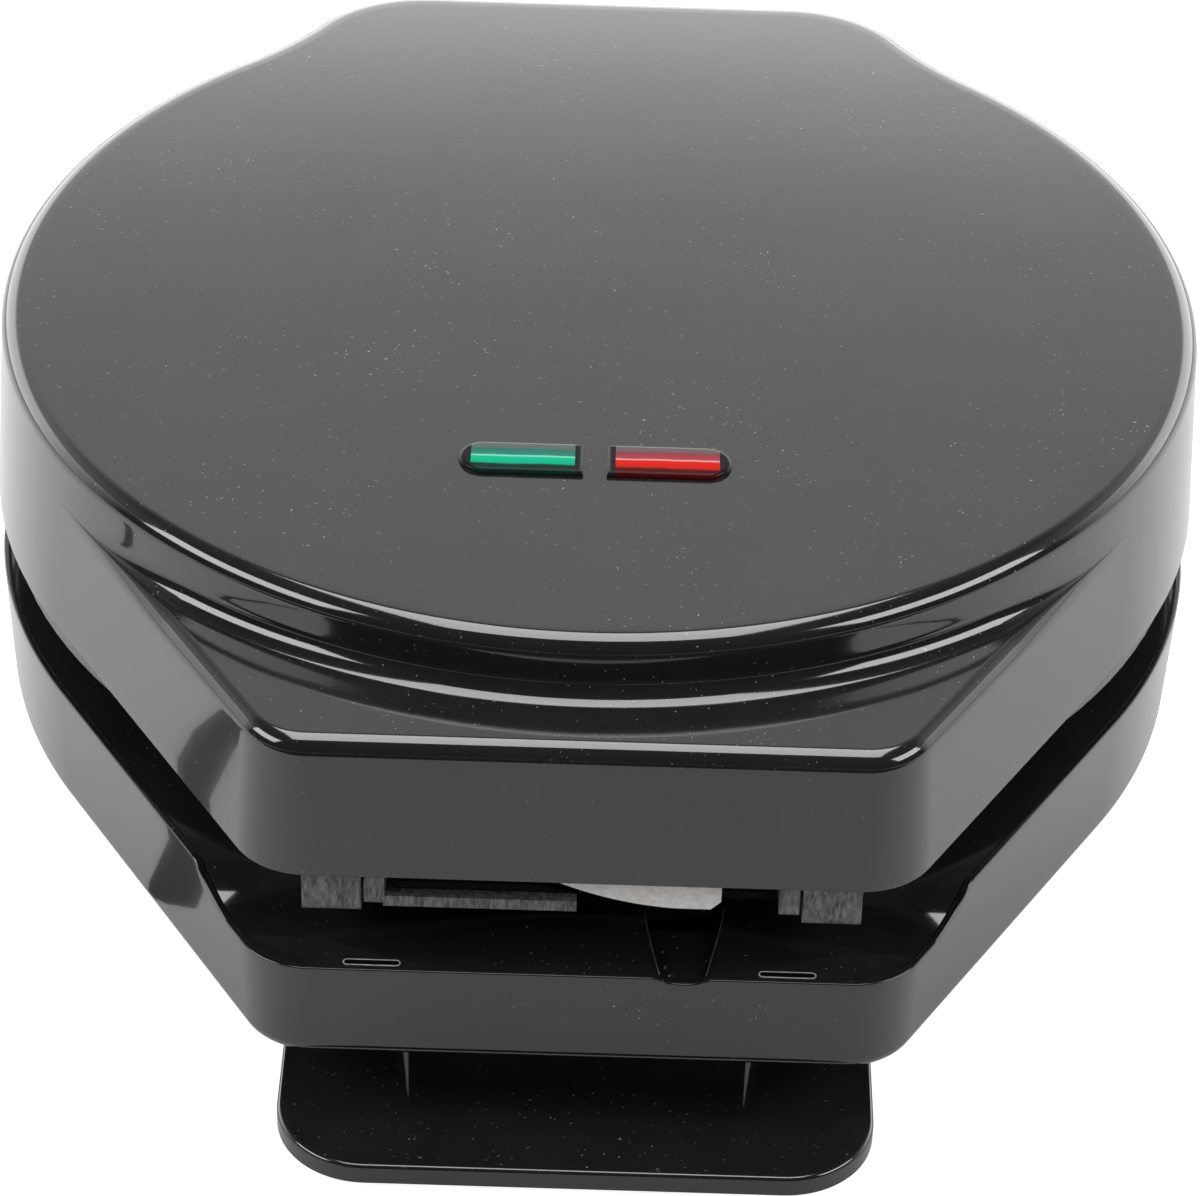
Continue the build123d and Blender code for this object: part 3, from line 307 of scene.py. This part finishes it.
def make_lid():
    """Upper housing: outer skin, rim lip and inner skin."""
    outer = lid_rings(0.0, HANDLE_FILLET, COVE_R, TOP_FILLET, UPPER_RIM_Z + LIP_EDGE)
    rim = [
        ring(-LIP + EDGE_EASE, UPPER_RIM_Z + EDGE_EASE),
        ring(-LIP + LIP_EDGE, UPPER_RIM_Z),
        ring(-LIP_EDGE, UPPER_RIM_Z),
        ring(-EDGE_EASE, UPPER_RIM_Z + EDGE_EASE),
    ]
    step_z = UPPER_RIM_Z + DECK_UNDER + DECK_GAP
    slope = DECK_UNDER * LID_SLOPE
    lip = [ring(-WALL - slope, step_z), ring(-LIP - slope, step_z), ring(-LIP, UPPER_RIM_Z + LIP_EDGE)]
    inner = lid_rings(WALL, CORE_FILLET, CORE_FILLET, CORE_FILLET, step_z + CORE_GAP)
    bm = loft(list(reversed(inner)) + lip + rim + outer)
    return mesh_object("lid_cover", bm, "lid")


def deck_z(y):
    """Height of the base's rim line at depth y: flat, then a scoop down to the handle."""
    if y >= CREASE_Y:
        return RIM_Z
    run = y - (CREASE_Y - SCOOP_RUN)
    if run <= 0:
        return RIM_Z - HANDLE_DROP
    return RIM_Z - HANDLE_DROP + SCOOP_R - sqrt(SCOOP_R ** 2 - run ** 2)


def rim_z(s):
    """Height of the base's rim at a station, with the rear relief and the front notch."""
    x, y = s[0], s[1]
    if y > RELIEF_Y and abs(x) < RELIEF_HALF_W:
        return RELIEF_Z
    z = deck_z(y)
    if y < FRONT_Y + 1 and abs(x - NOTCH_X) < NOTCH_HALF_W:
        z -= NOTCH_DEPTH * sqrt(1 - ((x - NOTCH_X) / NOTCH_HALF_W) ** 2)
    return z


def base_drop(z):
    """Outline offset of the drafted base wall at height z."""
    return -(RIM_Z - z) * BASE_SLOPE


def rim_ring(inset, drop):
    """Ring that follows the rim line, inset from the wall and lowered."""
    return ring(lambda s: base_drop(rim_z(s)) - inset, lambda s: rim_z(s) - drop)


def under_deck_ring(inset):
    """Ring just below the deck's underside, inset from the wall."""
    return ring(lambda s: base_drop(rim_z(s)) - inset, lambda s: deck_z(s[1]) - DECK_UNDER - DECK_GAP)


def make_base():
    """Lower housing: bottom fillet, wall, rim lip and inner skin."""
    rings = []
    for k in range(9):
        a = pi / 2 * k / 8
        z = FLOOR_Z + BOTTOM_FILLET * (1 - cos(a))
        rings.append(ring(base_drop(z) - BOTTOM_FILLET * (1 - sin(a)), z))
    low = FLOOR_Z + BOTTOM_FILLET
    for k in range(1, 10):
        t = k / 9

        def z_at(s, t=t):
            return low + (rim_z(s) - LIP_EDGE - low) * t

        rings.append(ring(lambda s, z_at=z_at: base_drop(z_at(s)), z_at))
    rings.append(rim_ring(EDGE_EASE, EDGE_EASE))
    rings.append(rim_ring(LIP_EDGE, 0.0))
    rings.append(rim_ring(LIP - LIP_EDGE, 0.0))
    rings.append(rim_ring(LIP - EDGE_EASE, EDGE_EASE))
    rings.append(rim_ring(LIP, LIP_EDGE))
    rings.append(under_deck_ring(LIP))
    rings.append(under_deck_ring(WALL))
    rings.append(ring(base_drop(FLOOR_Z) - WALL, FLOOR_Z + WALL + CORE_FILLET))
    rings.append(ring(base_drop(FLOOR_Z) - WALL - CORE_FILLET, FLOOR_Z + WALL))
    return mesh_object("base_cover", loft(rings), "base")


# Materials and modifiers
BEVEL_ANGLE = 24
SMOOTH_ANGLE = 28


def material(name):
    """New material with its nodes, its links and its shader."""
    mat = bpy.data.materials.new(name)
    mat.use_nodes = True
    return mat, mat.node_tree.nodes, mat.node_tree.links, mat.node_tree.nodes["Principled BSDF"]


def noise(nodes, links, scale, detail=4.0, rough=0.6):
    """Noise texture in object coordinates."""
    coord = nodes.new("ShaderNodeTexCoord")
    tex = nodes.new("ShaderNodeTexNoise")
    tex.inputs["Scale"].default_value = scale
    tex.inputs["Detail"].default_value = detail
    tex.inputs["Roughness"].default_value = rough
    links.new(coord.outputs["Object"], tex.inputs["Vector"])
    return tex


def ramp(nodes, links, source, stops):
    """Colour ramp on a source; each stop is a place and a grey level or a colour."""
    node = nodes.new("ShaderNodeValToRGB")
    while len(node.color_ramp.elements) < len(stops):
        node.color_ramp.elements.new(0.5)
    for element, (position_on_ramp, value) in zip(node.color_ramp.elements, stops):
        element.position = position_on_ramp
        element.color = (*value, 1.0) if isinstance(value, tuple) else (value, value, value, 1.0)
    links.new(source, node.inputs["Fac"])
    return node


def bump(nodes, links, source, strength, distance, shader):
    """Raise a shader's surface by a height source."""
    node = nodes.new("ShaderNodeBump")
    node.inputs["Strength"].default_value = strength
    node.inputs["Distance"].default_value = distance
    links.new(source, node.inputs["Height"])
    links.new(node.outputs["Normal"], shader.inputs["Normal"])


def math_node(nodes, links, operation, *values):
    """A math node's output; each value is a socket or a number."""
    node = nodes.new("ShaderNodeMath")
    node.operation = operation
    for socket, value in zip(node.inputs, values):
        if isinstance(value, (int, float)):
            socket.default_value = value
        else:
            links.new(value, socket)
    return node.outputs[0]


def position(nodes, links):
    """Object position split into x, y and z, metres in the shared frame."""
    coord = nodes.new("ShaderNodeTexCoord")
    split = nodes.new("ShaderNodeSeparateXYZ")
    links.new(coord.outputs["Object"], split.inputs["Vector"])
    return split.outputs


def mix_color(nodes, links, factor, a, b):
    """A colour mix's output; the factor is a socket, a and b are sockets or colours."""
    node = nodes.new("ShaderNodeMix")
    node.data_type = "RGBA"
    for socket, value in (("Factor", factor), ("A", a), ("B", b)):
        if isinstance(value, tuple):
            node.inputs[socket].default_value = value
        else:
            links.new(value, node.inputs[socket])
    return node.outputs["Result"]


def gloss_black():
    """Glossy black plastic with faint smears and a little dust."""
    mat, nodes, links, shader = material("gloss_black")
    base = noise(nodes, links, 60.0)
    tones = ((0.3, (0.009, 0.009, 0.0093)), (0.7, (0.0125, 0.0125, 0.0128)))
    tone = ramp(nodes, links, base.outputs["Fac"], tones)
    smear = noise(nodes, links, 14.0, 5.0, 0.65)
    gloss = ramp(nodes, links, smear.outputs["Fac"], ((0.3, GLOSS_ROUGH - 0.015), (0.7, GLOSS_ROUGH + 0.02)))
    links.new(gloss.outputs["Color"], shader.inputs["Roughness"])
    shader.inputs["Coat Weight"].default_value = 0.7
    shader.inputs["Coat Roughness"].default_value = 0.03
    dust = noise(nodes, links, 1900.0, 1.0, 0.4)
    speck = ramp(nodes, links, dust.outputs["Fac"], ((0.752, 0.0), (0.775, 1.0)))
    patchy = noise(nodes, links, 35.0, 3.0, 0.6)
    where = ramp(nodes, links, patchy.outputs["Fac"], ((0.42, 0.15), (0.66, 0.75)))
    amount = math_node(nodes, links, "MULTIPLY", speck.outputs["Color"], where.outputs["Color"])
    dusty = mix_color(nodes, links, amount, tone.outputs["Color"], DUST_COLOR)
    links.new(dusty, shader.inputs["Base Color"])
    peel = noise(nodes, links, 900.0, 2.0, 0.5)
    bump(nodes, links, peel.outputs["Fac"], 0.02, 0.0002, shader)
    return mat


def grain(name, low, high, rough, metallic, scale, depth, stretch=(1.0, 1.0, 1.0)):
    """Mottled surface: two tones, a fine grain in the bump and uneven roughness."""
    mat, nodes, links, shader = material(name)
    tex = noise(nodes, links, scale, 6.0, 0.7)
    squash = nodes.new("ShaderNodeMapping")
    squash.inputs["Scale"].default_value = stretch
    links.new(tex.inputs["Vector"].links[0].from_socket, squash.inputs["Vector"])
    links.new(squash.outputs["Vector"], tex.inputs["Vector"])
    tone = ramp(nodes, links, tex.outputs["Fac"], ((0.36, low), (0.64, high)))
    links.new(tone.outputs["Color"], shader.inputs["Base Color"])
    wear = noise(nodes, links, scale / 5, 3.0, 0.6)
    gloss = ramp(nodes, links, wear.outputs["Fac"], ((0.3, rough - 0.05), (0.7, rough + 0.07)))
    links.new(gloss.outputs["Color"], shader.inputs["Roughness"])
    shader.inputs["Metallic"].default_value = metallic
    bump(nodes, links, tex.outputs["Fac"], 0.5, depth, shader)
    return mat


def coated_plate():
    """Cast plate: pale bare casting on its flank, dark release coating on the cooking side."""
    mat, nodes, links, shader = material("cast_plate")
    tex = noise(nodes, links, 1500.0, 6.0, 0.75)
    bare_tones = ((0.3, (0.13, 0.132, 0.135)), (0.7, (0.27, 0.272, 0.275)))
    dark_tones = ((0.3, (0.018, 0.018, 0.019)), (0.7, (0.034, 0.034, 0.036)))
    bare = ramp(nodes, links, tex.outputs["Fac"], bare_tones)
    dark = ramp(nodes, links, tex.outputs["Fac"], dark_tones)
    facing = nodes.new("ShaderNodeNewGeometry")
    parts = nodes.new("ShaderNodeSeparateXYZ")
    links.new(facing.outputs["True Normal"], parts.inputs["Vector"])
    x, y, _ = position(nodes, links)
    from_centre = math_node(nodes, links, "SUBTRACT", y, SHIFT_Y * MM)
    x_squared = math_node(nodes, links, "MULTIPLY", x, x)
    y_squared = math_node(nodes, links, "POWER", from_centre, 2.0)
    radius = math_node(nodes, links, "SQRT", math_node(nodes, links, "ADD", x_squared, y_squared))
    outer = math_node(nodes, links, "GREATER_THAN", radius, BARE_R * MM)
    tilt = math_node(nodes, links, "ABSOLUTE", parts.outputs["Z"])
    flank = math_node(nodes, links, "LESS_THAN", tilt, BARE_TILT)
    outer_flank = math_node(nodes, links, "MULTIPLY", outer, flank)
    color = mix_color(nodes, links, outer_flank, dark.outputs["Color"], bare.outputs["Color"])
    links.new(color, shader.inputs["Base Color"])
    shader.inputs["Roughness"].default_value = 0.5
    shader.inputs["Metallic"].default_value = 0.35
    bump(nodes, links, tex.outputs["Fac"], 0.4, 0.0002, shader)
    return mat


def lens_with_painted_highlights(name, stops):
    """Clear cover over a tinted bar: the tone changes across the lens, front to rear, and the ramp paints the
    cover's highlights: a light outline at the rear edge and a pale line across the bar.
    """
    mat, nodes, links, shader = material(name)
    x, y, _ = position(nodes, links)
    back = (LENS_Y + LENS_HALF_W + SHIFT_Y) * MM
    across = nodes.new("ShaderNodeMapRange")
    across.inputs["From Min"].default_value = back
    across.inputs["From Max"].default_value = back - 2 * LENS_HALF_W * MM
    wave = noise(nodes, links, 180.0, 2.0, 0.5)
    swing = LENS_WANDER * MM
    wander = math_node(nodes, links, "MULTIPLY_ADD", wave.outputs["Fac"], swing, -swing / 2)
    links.new(math_node(nodes, links, "ADD", y, wander), across.inputs["Value"])
    tone = ramp(nodes, links, across.outputs["Result"], stops)
    along = math_node(nodes, links, "ABSOLUTE", x)
    past_start = math_node(nodes, links, "GREATER_THAN", along, LENS_BAR_X0 * MM)
    before_end = math_node(nodes, links, "LESS_THAN", along, LENS_BAR_X1 * MM)
    bar = math_node(nodes, links, "MULTIPLY", past_start, before_end)
    color = mix_color(nodes, links, bar, LENS_END_COLOR, tone.outputs["Color"])
    links.new(color, shader.inputs["Base Color"])
    shader.inputs["Roughness"].default_value = 0.08
    shader.inputs["Specular IOR Level"].default_value = 0.07
    return mat


def smooth_by_angle():
    """Geometry nodes that shade smooth everywhere but on edges sharper than the limit."""
    group = bpy.data.node_groups.new("smooth_by_angle", "GeometryNodeTree")
    group.interface.new_socket("Geometry", in_out="INPUT", socket_type="NodeSocketGeometry")
    group.interface.new_socket("Geometry", in_out="OUTPUT", socket_type="NodeSocketGeometry")
    start = group.nodes.new("NodeGroupInput")
    end = group.nodes.new("NodeGroupOutput")
    faces = group.nodes.new("GeometryNodeSetShadeSmooth")
    faces.domain = "FACE"
    edges = group.nodes.new("GeometryNodeSetShadeSmooth")
    edges.domain = "EDGE"
    angle = group.nodes.new("GeometryNodeInputMeshEdgeAngle")
    less = group.nodes.new("FunctionNodeCompare")
    less.data_type = "FLOAT"
    less.operation = "LESS_THAN"
    less.inputs["B"].default_value = radians(SMOOTH_ANGLE)
    group.links.new(start.outputs[0], faces.inputs["Geometry"])
    group.links.new(faces.outputs["Geometry"], edges.inputs["Geometry"])
    group.links.new(angle.outputs["Unsigned Angle"], less.inputs["A"])
    group.links.new(less.outputs["Result"], edges.inputs["Shade Smooth"])
    group.links.new(edges.outputs["Geometry"], end.inputs[0])
    return group


def bevel(obj, width):
    """Round the sharp edges by a width in millimetres."""
    mod = obj.modifiers.new("edge", "BEVEL")
    mod.width = width * MM
    mod.segments = 2
    mod.limit_method = "ANGLE"
    mod.angle_limit = radians(BEVEL_ANGLE)
    mod.use_clamp_overlap = True
    mod.miter_outer = "MITER_ARC"


def smooth(obj, group):
    """Add the smooth-by-angle node group."""
    mod = obj.modifiers.new("smooth", "NODES")
    mod.node_group = group


def assign(obj, mat):
    """Give an object one material."""
    obj.data.materials.clear()
    obj.data.materials.append(mat)


# Painted highlights: thin light beads along the slot and channel edges
WIRE_SIDES = 6


def wire(name, points, radius, closed=False):
    """Thin round bead on the base along a line of points, given in disc-centred millimetres."""
    path = [here(*p) for p in points]
    count = len(path)
    bm = bmesh.new()
    rows = []
    for i, p in enumerate(path):
        ahead = path[(i + 1) % count] if closed or i + 1 < count else p
        behind = path[i - 1] if closed or i > 0 else p
        along = (ahead - behind).normalized()
        across = along.cross(Vector((0, 0, 1))).normalized()
        up = across.cross(along)
        row = []
        for k in range(WIRE_SIDES):
            a = 2 * pi * k / WIRE_SIDES
            row.append(bm.verts.new(p + (across * cos(a) + up * sin(a)) * radius * MM))
        rows.append(row)
    pairs = list(zip(rows, rows[1:]))
    if closed:
        pairs.append((rows[-1], rows[0]))
    for a, b in pairs:
        for k in range(WIRE_SIDES):
            j = (k + 1) % WIRE_SIDES
            bm.faces.new((a[k], a[j], b[j], b[k]))
    if not closed:
        bm.faces.new(rows[0])
        bm.faces.new(list(reversed(rows[-1])))
    return mesh_object(name, bm, "base")


def slot_rim(x0, x1, y0, y1, z):
    """Points round a slot with rounded ends."""
    r = (y1 - y0) / 2
    points = []
    for centre, start in (((x1 - r, y0 + r), -pi / 2), ((x0 + r, y0 + r), pi / 2)):
        for k in range(9):
            a = start + pi * k / 8
            points.append((centre[0] + r * cos(a), centre[1] + r * sin(a), z))
    return points


def handle_deck_z(y):
    """Height of the lower deck's top at depth y."""
    return deck_z(y) - DECK_RECESS


def make_slot_highlights(mat):
    """Pale bead round each of the two slots, mirrored left and right: a painted highlight on the slots' edges.
    """
    z = handle_deck_z(FRONT_Y) + SLOT_BEAD_LIFT
    for side, x0, x1 in (("left", -SLOT_OUTER_X, -SLOT_INNER_X), ("right", SLOT_INNER_X, SLOT_OUTER_X)):
        points = slot_rim(x0, x1, SLOT_FRONT_Y, SLOT_BACK_Y, z)
        assign(wire(f"slot_rim_{side}", points, SLOT_BEAD_R, True), mat)


def make_channel_highlights(mat):
    """Grey bead along each edge of the channel, following the deck's scoop: a painted highlight on the
    channel's edges.
    """
    steps = 12
    for side, (back, front) in (("left", CHANNEL_LEFT), ("right", CHANNEL_RIGHT)):
        points = []
        for k in range(steps + 1):
            x = back[0] + (front[0] - back[0]) * k / steps
            y = back[1] + (front[1] - back[1]) * k / steps
            points.append((x, y, handle_deck_z(y) + CHANNEL_BEAD_LIFT))
        assign(wire(f"channel_edge_{side}", points, CHANNEL_BEAD_R), mat)


# Stage, lights and camera
CAMERA_PLACE = (0.55, -623.5, 481.63)
CAMERA_YAW = 0.0016
CAMERA_PITCH = 0.6319
CAMERA_ROLL = 0.0317
CAMERA_FOCAL_PX = 4249.5
PHOTO_W = 1200
SENSOR = 36.0
WORLD_STOPS = (
    (0.0, 1.0), (0.44, 1.0), (0.47, 0.90), (0.49, 0.48),
    (0.512, 0.33), (0.54, 0.27), (0.60, 0.27), (0.766, 0.01),
)
WORLD_BRIGHT = 3.6
WORLD_DIM = 0.05
FLOOR_HALF = 3000.0
FLOOR_DROP = -0.05
FLOOR_TONE = 0.46
FLOOR_SEEN = 0.95
GLOW_MIDDLE_X = 25.0
GLOW_START = 50.0
GLOW_FULL = 300.0
GLOW_LOW = 0.08
GLOW_HIGH = 0.52
OVERHEAD_PLACE = (0, 80, 1000)
OVERHEAD_AIM = (0, 80, 0)
OVERHEAD_SIZE = (600, 920)
OVERHEAD_RADIANCE = 5.5
SIDE_LIGHT_PLACE = (735, -335, 600)
SIDE_LIGHT_AIM = (0, -20, 60)
SIDE_LIGHT_SIZE = (620, 330)
SIDE_LIGHT_RADIANCE = 6.5
STRIP_CORNERS = ((-260, -61), (-150, -60), (-90, -77), (-88, -67), (-150, -51), (-260, -54))
STRIP_Z = 0.6
STRIP_TONE = 0.08
FRONT_SHEET_CORNERS = ((-700, -1500), (700, -1500), (700, -275), (-700, -275))
FRONT_SHEET_Z = 0.5
FRONT_SHEET_TONE = 0.01


def make_camera():
    """Camera that matches the photo's view of the part."""
    level = cos(CAMERA_PITCH)
    fwd = Vector((sin(CAMERA_YAW) * level, cos(CAMERA_YAW) * level, -sin(CAMERA_PITCH)))
    right = Vector((cos(CAMERA_YAW), -sin(CAMERA_YAW), 0.0))
    up = right.cross(fwd)
    rolled_right = right * cos(CAMERA_ROLL) + up * sin(CAMERA_ROLL)
    rolled_up = up * cos(CAMERA_ROLL) - right * sin(CAMERA_ROLL)
    turn = Matrix((rolled_right, rolled_up, -fwd)).transposed()
    data = bpy.data.cameras.new("camera")
    data.sensor_width = SENSOR
    data.lens = CAMERA_FOCAL_PX * SENSOR / PHOTO_W
    data.clip_start = 0.01
    cam = bpy.data.objects.new("camera", data)
    cam.matrix_world = Matrix.Translation(here(*CAMERA_PLACE)) @ turn.to_4x4()
    bpy.context.scene.collection.objects.link(cam)
    bpy.context.scene.camera = cam


def area_light(name, place, aim, size_x, size_y, radiance):
    """Rectangular light at a place, aimed at a point, with its power set from its radiance."""
    data = bpy.data.lights.new(name, "AREA")
    data.shape = "RECTANGLE"
    data.size = size_x * MM
    data.size_y = size_y * MM
    data.energy = radiance * pi * data.size * data.size_y
    lamp = bpy.data.objects.new(name, data)
    turn = (here(*aim) - here(*place)).to_track_quat("-Z", "Y")
    lamp.matrix_world = Matrix.Translation(here(*place)) @ turn.to_matrix().to_4x4()
    bpy.context.scene.collection.objects.link(lamp)


def make_world():
    """Studio surround: brighter low and to the rear, white to the camera."""
    world = bpy.data.worlds.new("studio")
    world.use_nodes = True
    nodes, links = world.node_tree.nodes, world.node_tree.links
    nodes.clear()
    coord = nodes.new("ShaderNodeTexCoord")
    split = nodes.new("ShaderNodeSeparateXYZ")
    links.new(coord.outputs["Generated"], split.inputs["Vector"])
    height = ramp(nodes, links, split.outputs["Z"], WORLD_STOPS)
    rear = nodes.new("ShaderNodeMapRange")
    rear.inputs["From Min"].default_value = 0.0
    rear.inputs["From Max"].default_value = 0.5
    links.new(split.outputs["Y"], rear.inputs["Value"])
    both = math_node(nodes, links, "MULTIPLY", height.outputs["Color"], rear.outputs["Result"])
    level = math_node(nodes, links, "MULTIPLY_ADD", both, WORLD_BRIGHT, WORLD_DIM)
    lit = nodes.new("ShaderNodeBackground")
    links.new(level, lit.inputs["Strength"])
    seen = nodes.new("ShaderNodeBackground")
    seen.inputs["Color"].default_value = (1, 1, 1, 1)
    path = nodes.new("ShaderNodeLightPath")
    mix = nodes.new("ShaderNodeMixShader")
    links.new(path.outputs["Is Camera Ray"], mix.inputs["Fac"])
    links.new(lit.outputs[0], mix.inputs[1])
    links.new(seen.outputs[0], mix.inputs[2])
    out = nodes.new("ShaderNodeOutputWorld")
    links.new(mix.outputs[0], out.inputs["Surface"])
    bpy.context.scene.world = world


def sheet(name, corners, z):
    """Flat sheet with the given corners at height z."""
    bm = bmesh.new()
    bm.faces.new([bm.verts.new(here(x, y, z)) for x, y in corners])
    mesh = bpy.data.meshes.new(name)
    bm.to_mesh(mesh)
    bm.free()
    obj = bpy.data.objects.new(name, mesh)
    bpy.context.scene.collection.objects.link(obj)
    return obj


def make_floor():
    """Pale floor; for glossy rays it glows as painted light, with painted shade under the part's middle and
    brighter towards the sides.
    """
    half = FLOOR_HALF
    floor = sheet("floor", ((-half, -half), (half, -half), (half, half), (-half, half)), FLOOR_DROP)
    mat, nodes, links, shader = material("floor_paint")
    shader.inputs["Base Color"].default_value = (FLOOR_TONE, FLOOR_TONE, FLOOR_TONE, 1)
    shader.inputs["Roughness"].default_value = 0.9
    shader.inputs["Specular IOR Level"].default_value = 0.0
    glow = nodes.new("ShaderNodeEmission")
    path = nodes.new("ShaderNodeLightPath")
    side = nodes.new("ShaderNodeMapRange")
    side.inputs["From Min"].default_value = GLOW_START * MM
    side.inputs["From Max"].default_value = GLOW_FULL * MM
    side.inputs["To Min"].default_value = GLOW_LOW
    side.inputs["To Max"].default_value = GLOW_HIGH
    from_middle = math_node(nodes, links, "SUBTRACT", position(nodes, links)[0], GLOW_MIDDLE_X * MM)
    links.new(math_node(nodes, links, "ABSOLUTE", from_middle), side.inputs["Value"])
    # Painted light and shade seen only in reflections: the glossy-ray glow runs from GLOW_LOW under the middle
    # to GLOW_HIGH at the sides.
    for_gloss = math_node(nodes, links, "MULTIPLY", path.outputs["Is Glossy Ray"], side.outputs["Result"])
    for_camera = math_node(nodes, links, "MULTIPLY", path.outputs["Is Camera Ray"], FLOOR_SEEN)
    links.new(math_node(nodes, links, "ADD", for_gloss, for_camera), glow.inputs["Strength"])
    both = nodes.new("ShaderNodeAddShader")
    links.new(shader.outputs[0], both.inputs[0])
    links.new(glow.outputs[0], both.inputs[1])
    links.new(both.outputs[0], nodes["Material Output"].inputs["Surface"])
    assign(floor, mat)


def make_flag(name, corners, z, tone):
    """Dark sheet lying on the floor, seen only in reflections."""
    flag = sheet(name, corners, z)
    flag.visible_camera = False
    flag.visible_shadow = False
    flag.visible_diffuse = False
    mat, _, _, shader = material(name)
    shader.inputs["Base Color"].default_value = (tone, tone, tone, 1)
    shader.inputs["Roughness"].default_value = 1.0
    assign(flag, mat)


def make_stage():
    """Camera, surround, floor, lights and dark sheets seen only in reflections."""
    make_camera()
    make_world()
    make_floor()
    x, y, z = SIDE_LIGHT_PLACE
    area_light("overhead", OVERHEAD_PLACE, OVERHEAD_AIM, *OVERHEAD_SIZE, OVERHEAD_RADIANCE)
    for side in (-1, 1):
        area_light(f"side_{side + 1}", (side * x, y, z), SIDE_LIGHT_AIM, *SIDE_LIGHT_SIZE, SIDE_LIGHT_RADIANCE)
    make_flag("side_strip", STRIP_CORNERS, STRIP_Z, STRIP_TONE)
    make_flag("front_dark_sheet", FRONT_SHEET_CORNERS, FRONT_SHEET_Z, FRONT_SHEET_TONE)


def make_covers(mat):
    """Dressed housings that stand in for the two CAD shells."""
    for cover, shell in ((make_lid(), "lid_shell"), (make_base(), "base_shell")):
        assign(weighted(cover), mat)
        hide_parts(shell)


bpy.context.scene.view_settings.view_transform = "Standard"
make_stage()

GLOSS = gloss_black()
SMOOTH = smooth_by_angle()
make_covers(GLOSS)

CAST = coated_plate()
CLIP_GREY = grain(
    "clip_grey", (0.045, 0.045, 0.046), (0.26, 0.26, 0.263), 0.5, 0.0, 1500.0, 0.0006, (1.0, 1.0, 0.25),
)
PALE = grain(
    "pale_pad", (0.78, 0.745, 0.73), (0.97, 0.955, 0.945), 0.65, 0.0, 520.0, 0.0012, (1.0, 1.0, 1.8),
)
RUBBER = grain("rubber", (0.012, 0.012, 0.012), (0.025, 0.025, 0.025), 0.75, 0.0, 800.0, 0.0002)
INNER = grain("inner_plastic", (0.02, 0.02, 0.021), (0.035, 0.035, 0.036), 0.5, 0.0, 500.0, 0.0002)
STEEL = grain("steel", (0.42, 0.42, 0.43), (0.58, 0.58, 0.59), 0.32, 1.0, 600.0, 0.0001)
SHEET = grain("bright_sheet", (0.62, 0.62, 0.63), (0.74, 0.74, 0.75), 0.25, 1.0, 300.0, 0.0001)
# Lens ramps, rear edge to front: stop 0.0 is a painted light outline and the pale stop at 0.51 a painted
# highlight line; the other stops are the tint across the bar and its dark edge.
GREEN = lens_with_painted_highlights("green_lens", (
    (0.0, (0.18, 0.19, 0.19)), (0.04, (0.09, 0.10, 0.10)), (0.24, (0.075, 0.09, 0.085)),
    (0.28, (0.015, 0.11, 0.085)), (0.47, (0.02, 0.15, 0.11)), (0.51, (0.20, 0.46, 0.36)),
    (0.55, (0.0, 0.32, 0.17)), (0.76, (0.0, 0.26, 0.14)), (0.81, (0.006, 0.02, 0.016)),
))
RED = lens_with_painted_highlights("red_lens", (
    (0.0, (0.18, 0.17, 0.17)), (0.04, (0.10, 0.09, 0.095)), (0.24, (0.10, 0.07, 0.075)),
    (0.28, (0.19, 0.03, 0.04)), (0.47, (0.25, 0.035, 0.045)), (0.51, (0.50, 0.26, 0.26)),
    (0.55, (0.46, 0.010, 0.004)), (0.76, (0.38, 0.008, 0.003)), (0.82, (0.05, 0.004, 0.004)),
))
GREEN_LAMP = grain("green_lamp", (0.0, 0.25, 0.12), (0.0, 0.35, 0.18), 0.15, 0.0, 200.0, 0.00005)
RED_LAMP = grain("red_lamp", (0.4, 0.01, 0.01), (0.55, 0.02, 0.01), 0.15, 0.0, 200.0, 0.00005)
LOOKS = {
    GLOSS: ("lower_deck", "upper_deck", "front_foot", "rear_foot"),
    CAST: ("upper_plate", "lower_plate"),
    CLIP_GREY: ("latch_lugs", "latch_clip"),
    PALE: ("handle_buffer",),
    RUBBER: ("rubber_feet", "cord_gland"),
    INNER: ("terminal_block", "lamp_holder", "thermal_fuse"),
    STEEL: (
        "lower_element", "upper_element", "lower_plate_screws", "upper_plate_screws", "foot_screws",
        "base_deck_screws", "lid_deck_screws", "lamp_holder_screws", "hinge_brackets", "hinge_pins",
        "hinge_screws", "hinge_arms", "latch_pins", "thermostat",
    ),
    SHEET: ("lower_reflector", "upper_reflector", "lower_element_clamps", "upper_element_clamps"),
    GREEN: ("green_lens",),
    RED: ("red_lens",),
    GREEN_LAMP: ("green_lamp",),
    RED_LAMP: ("red_lamp",),
}
# Painted highlight: pale bead round the slots' edges.
SLOT_HIGHLIGHT_PAINT = grain("painted_slot_highlight", (0.30, 0.30, 0.30), (0.62, 0.62, 0.62), 0.5, 0.0, 700.0, 0.0001)
# Painted highlight: grey bead along the channel's edges.
CHANNEL_HIGHLIGHT_PAINT = grain("painted_channel_highlight", (0.03, 0.03, 0.03), (0.12, 0.12, 0.12), 0.35, 0.0, 500.0, 0.0001)
make_slot_highlights(SLOT_HIGHLIGHT_PAINT)
make_channel_highlights(CHANNEL_HIGHLIGHT_PAINT)

BEVELS = {
    "lower_deck": 0.22,
    "upper_deck": 0.2,
    "front_foot": 0.15,
    "rear_foot": 0.15,
    "latch_lugs": 0.3,
    "latch_clip": 0.25,
}
for look, names in LOOKS.items():
    for name in names:
        assign(NODES[name], look)
        if name in BEVELS:
            bevel(NODES[name], BEVELS[name])
        smooth(NODES[name], SMOOTH)
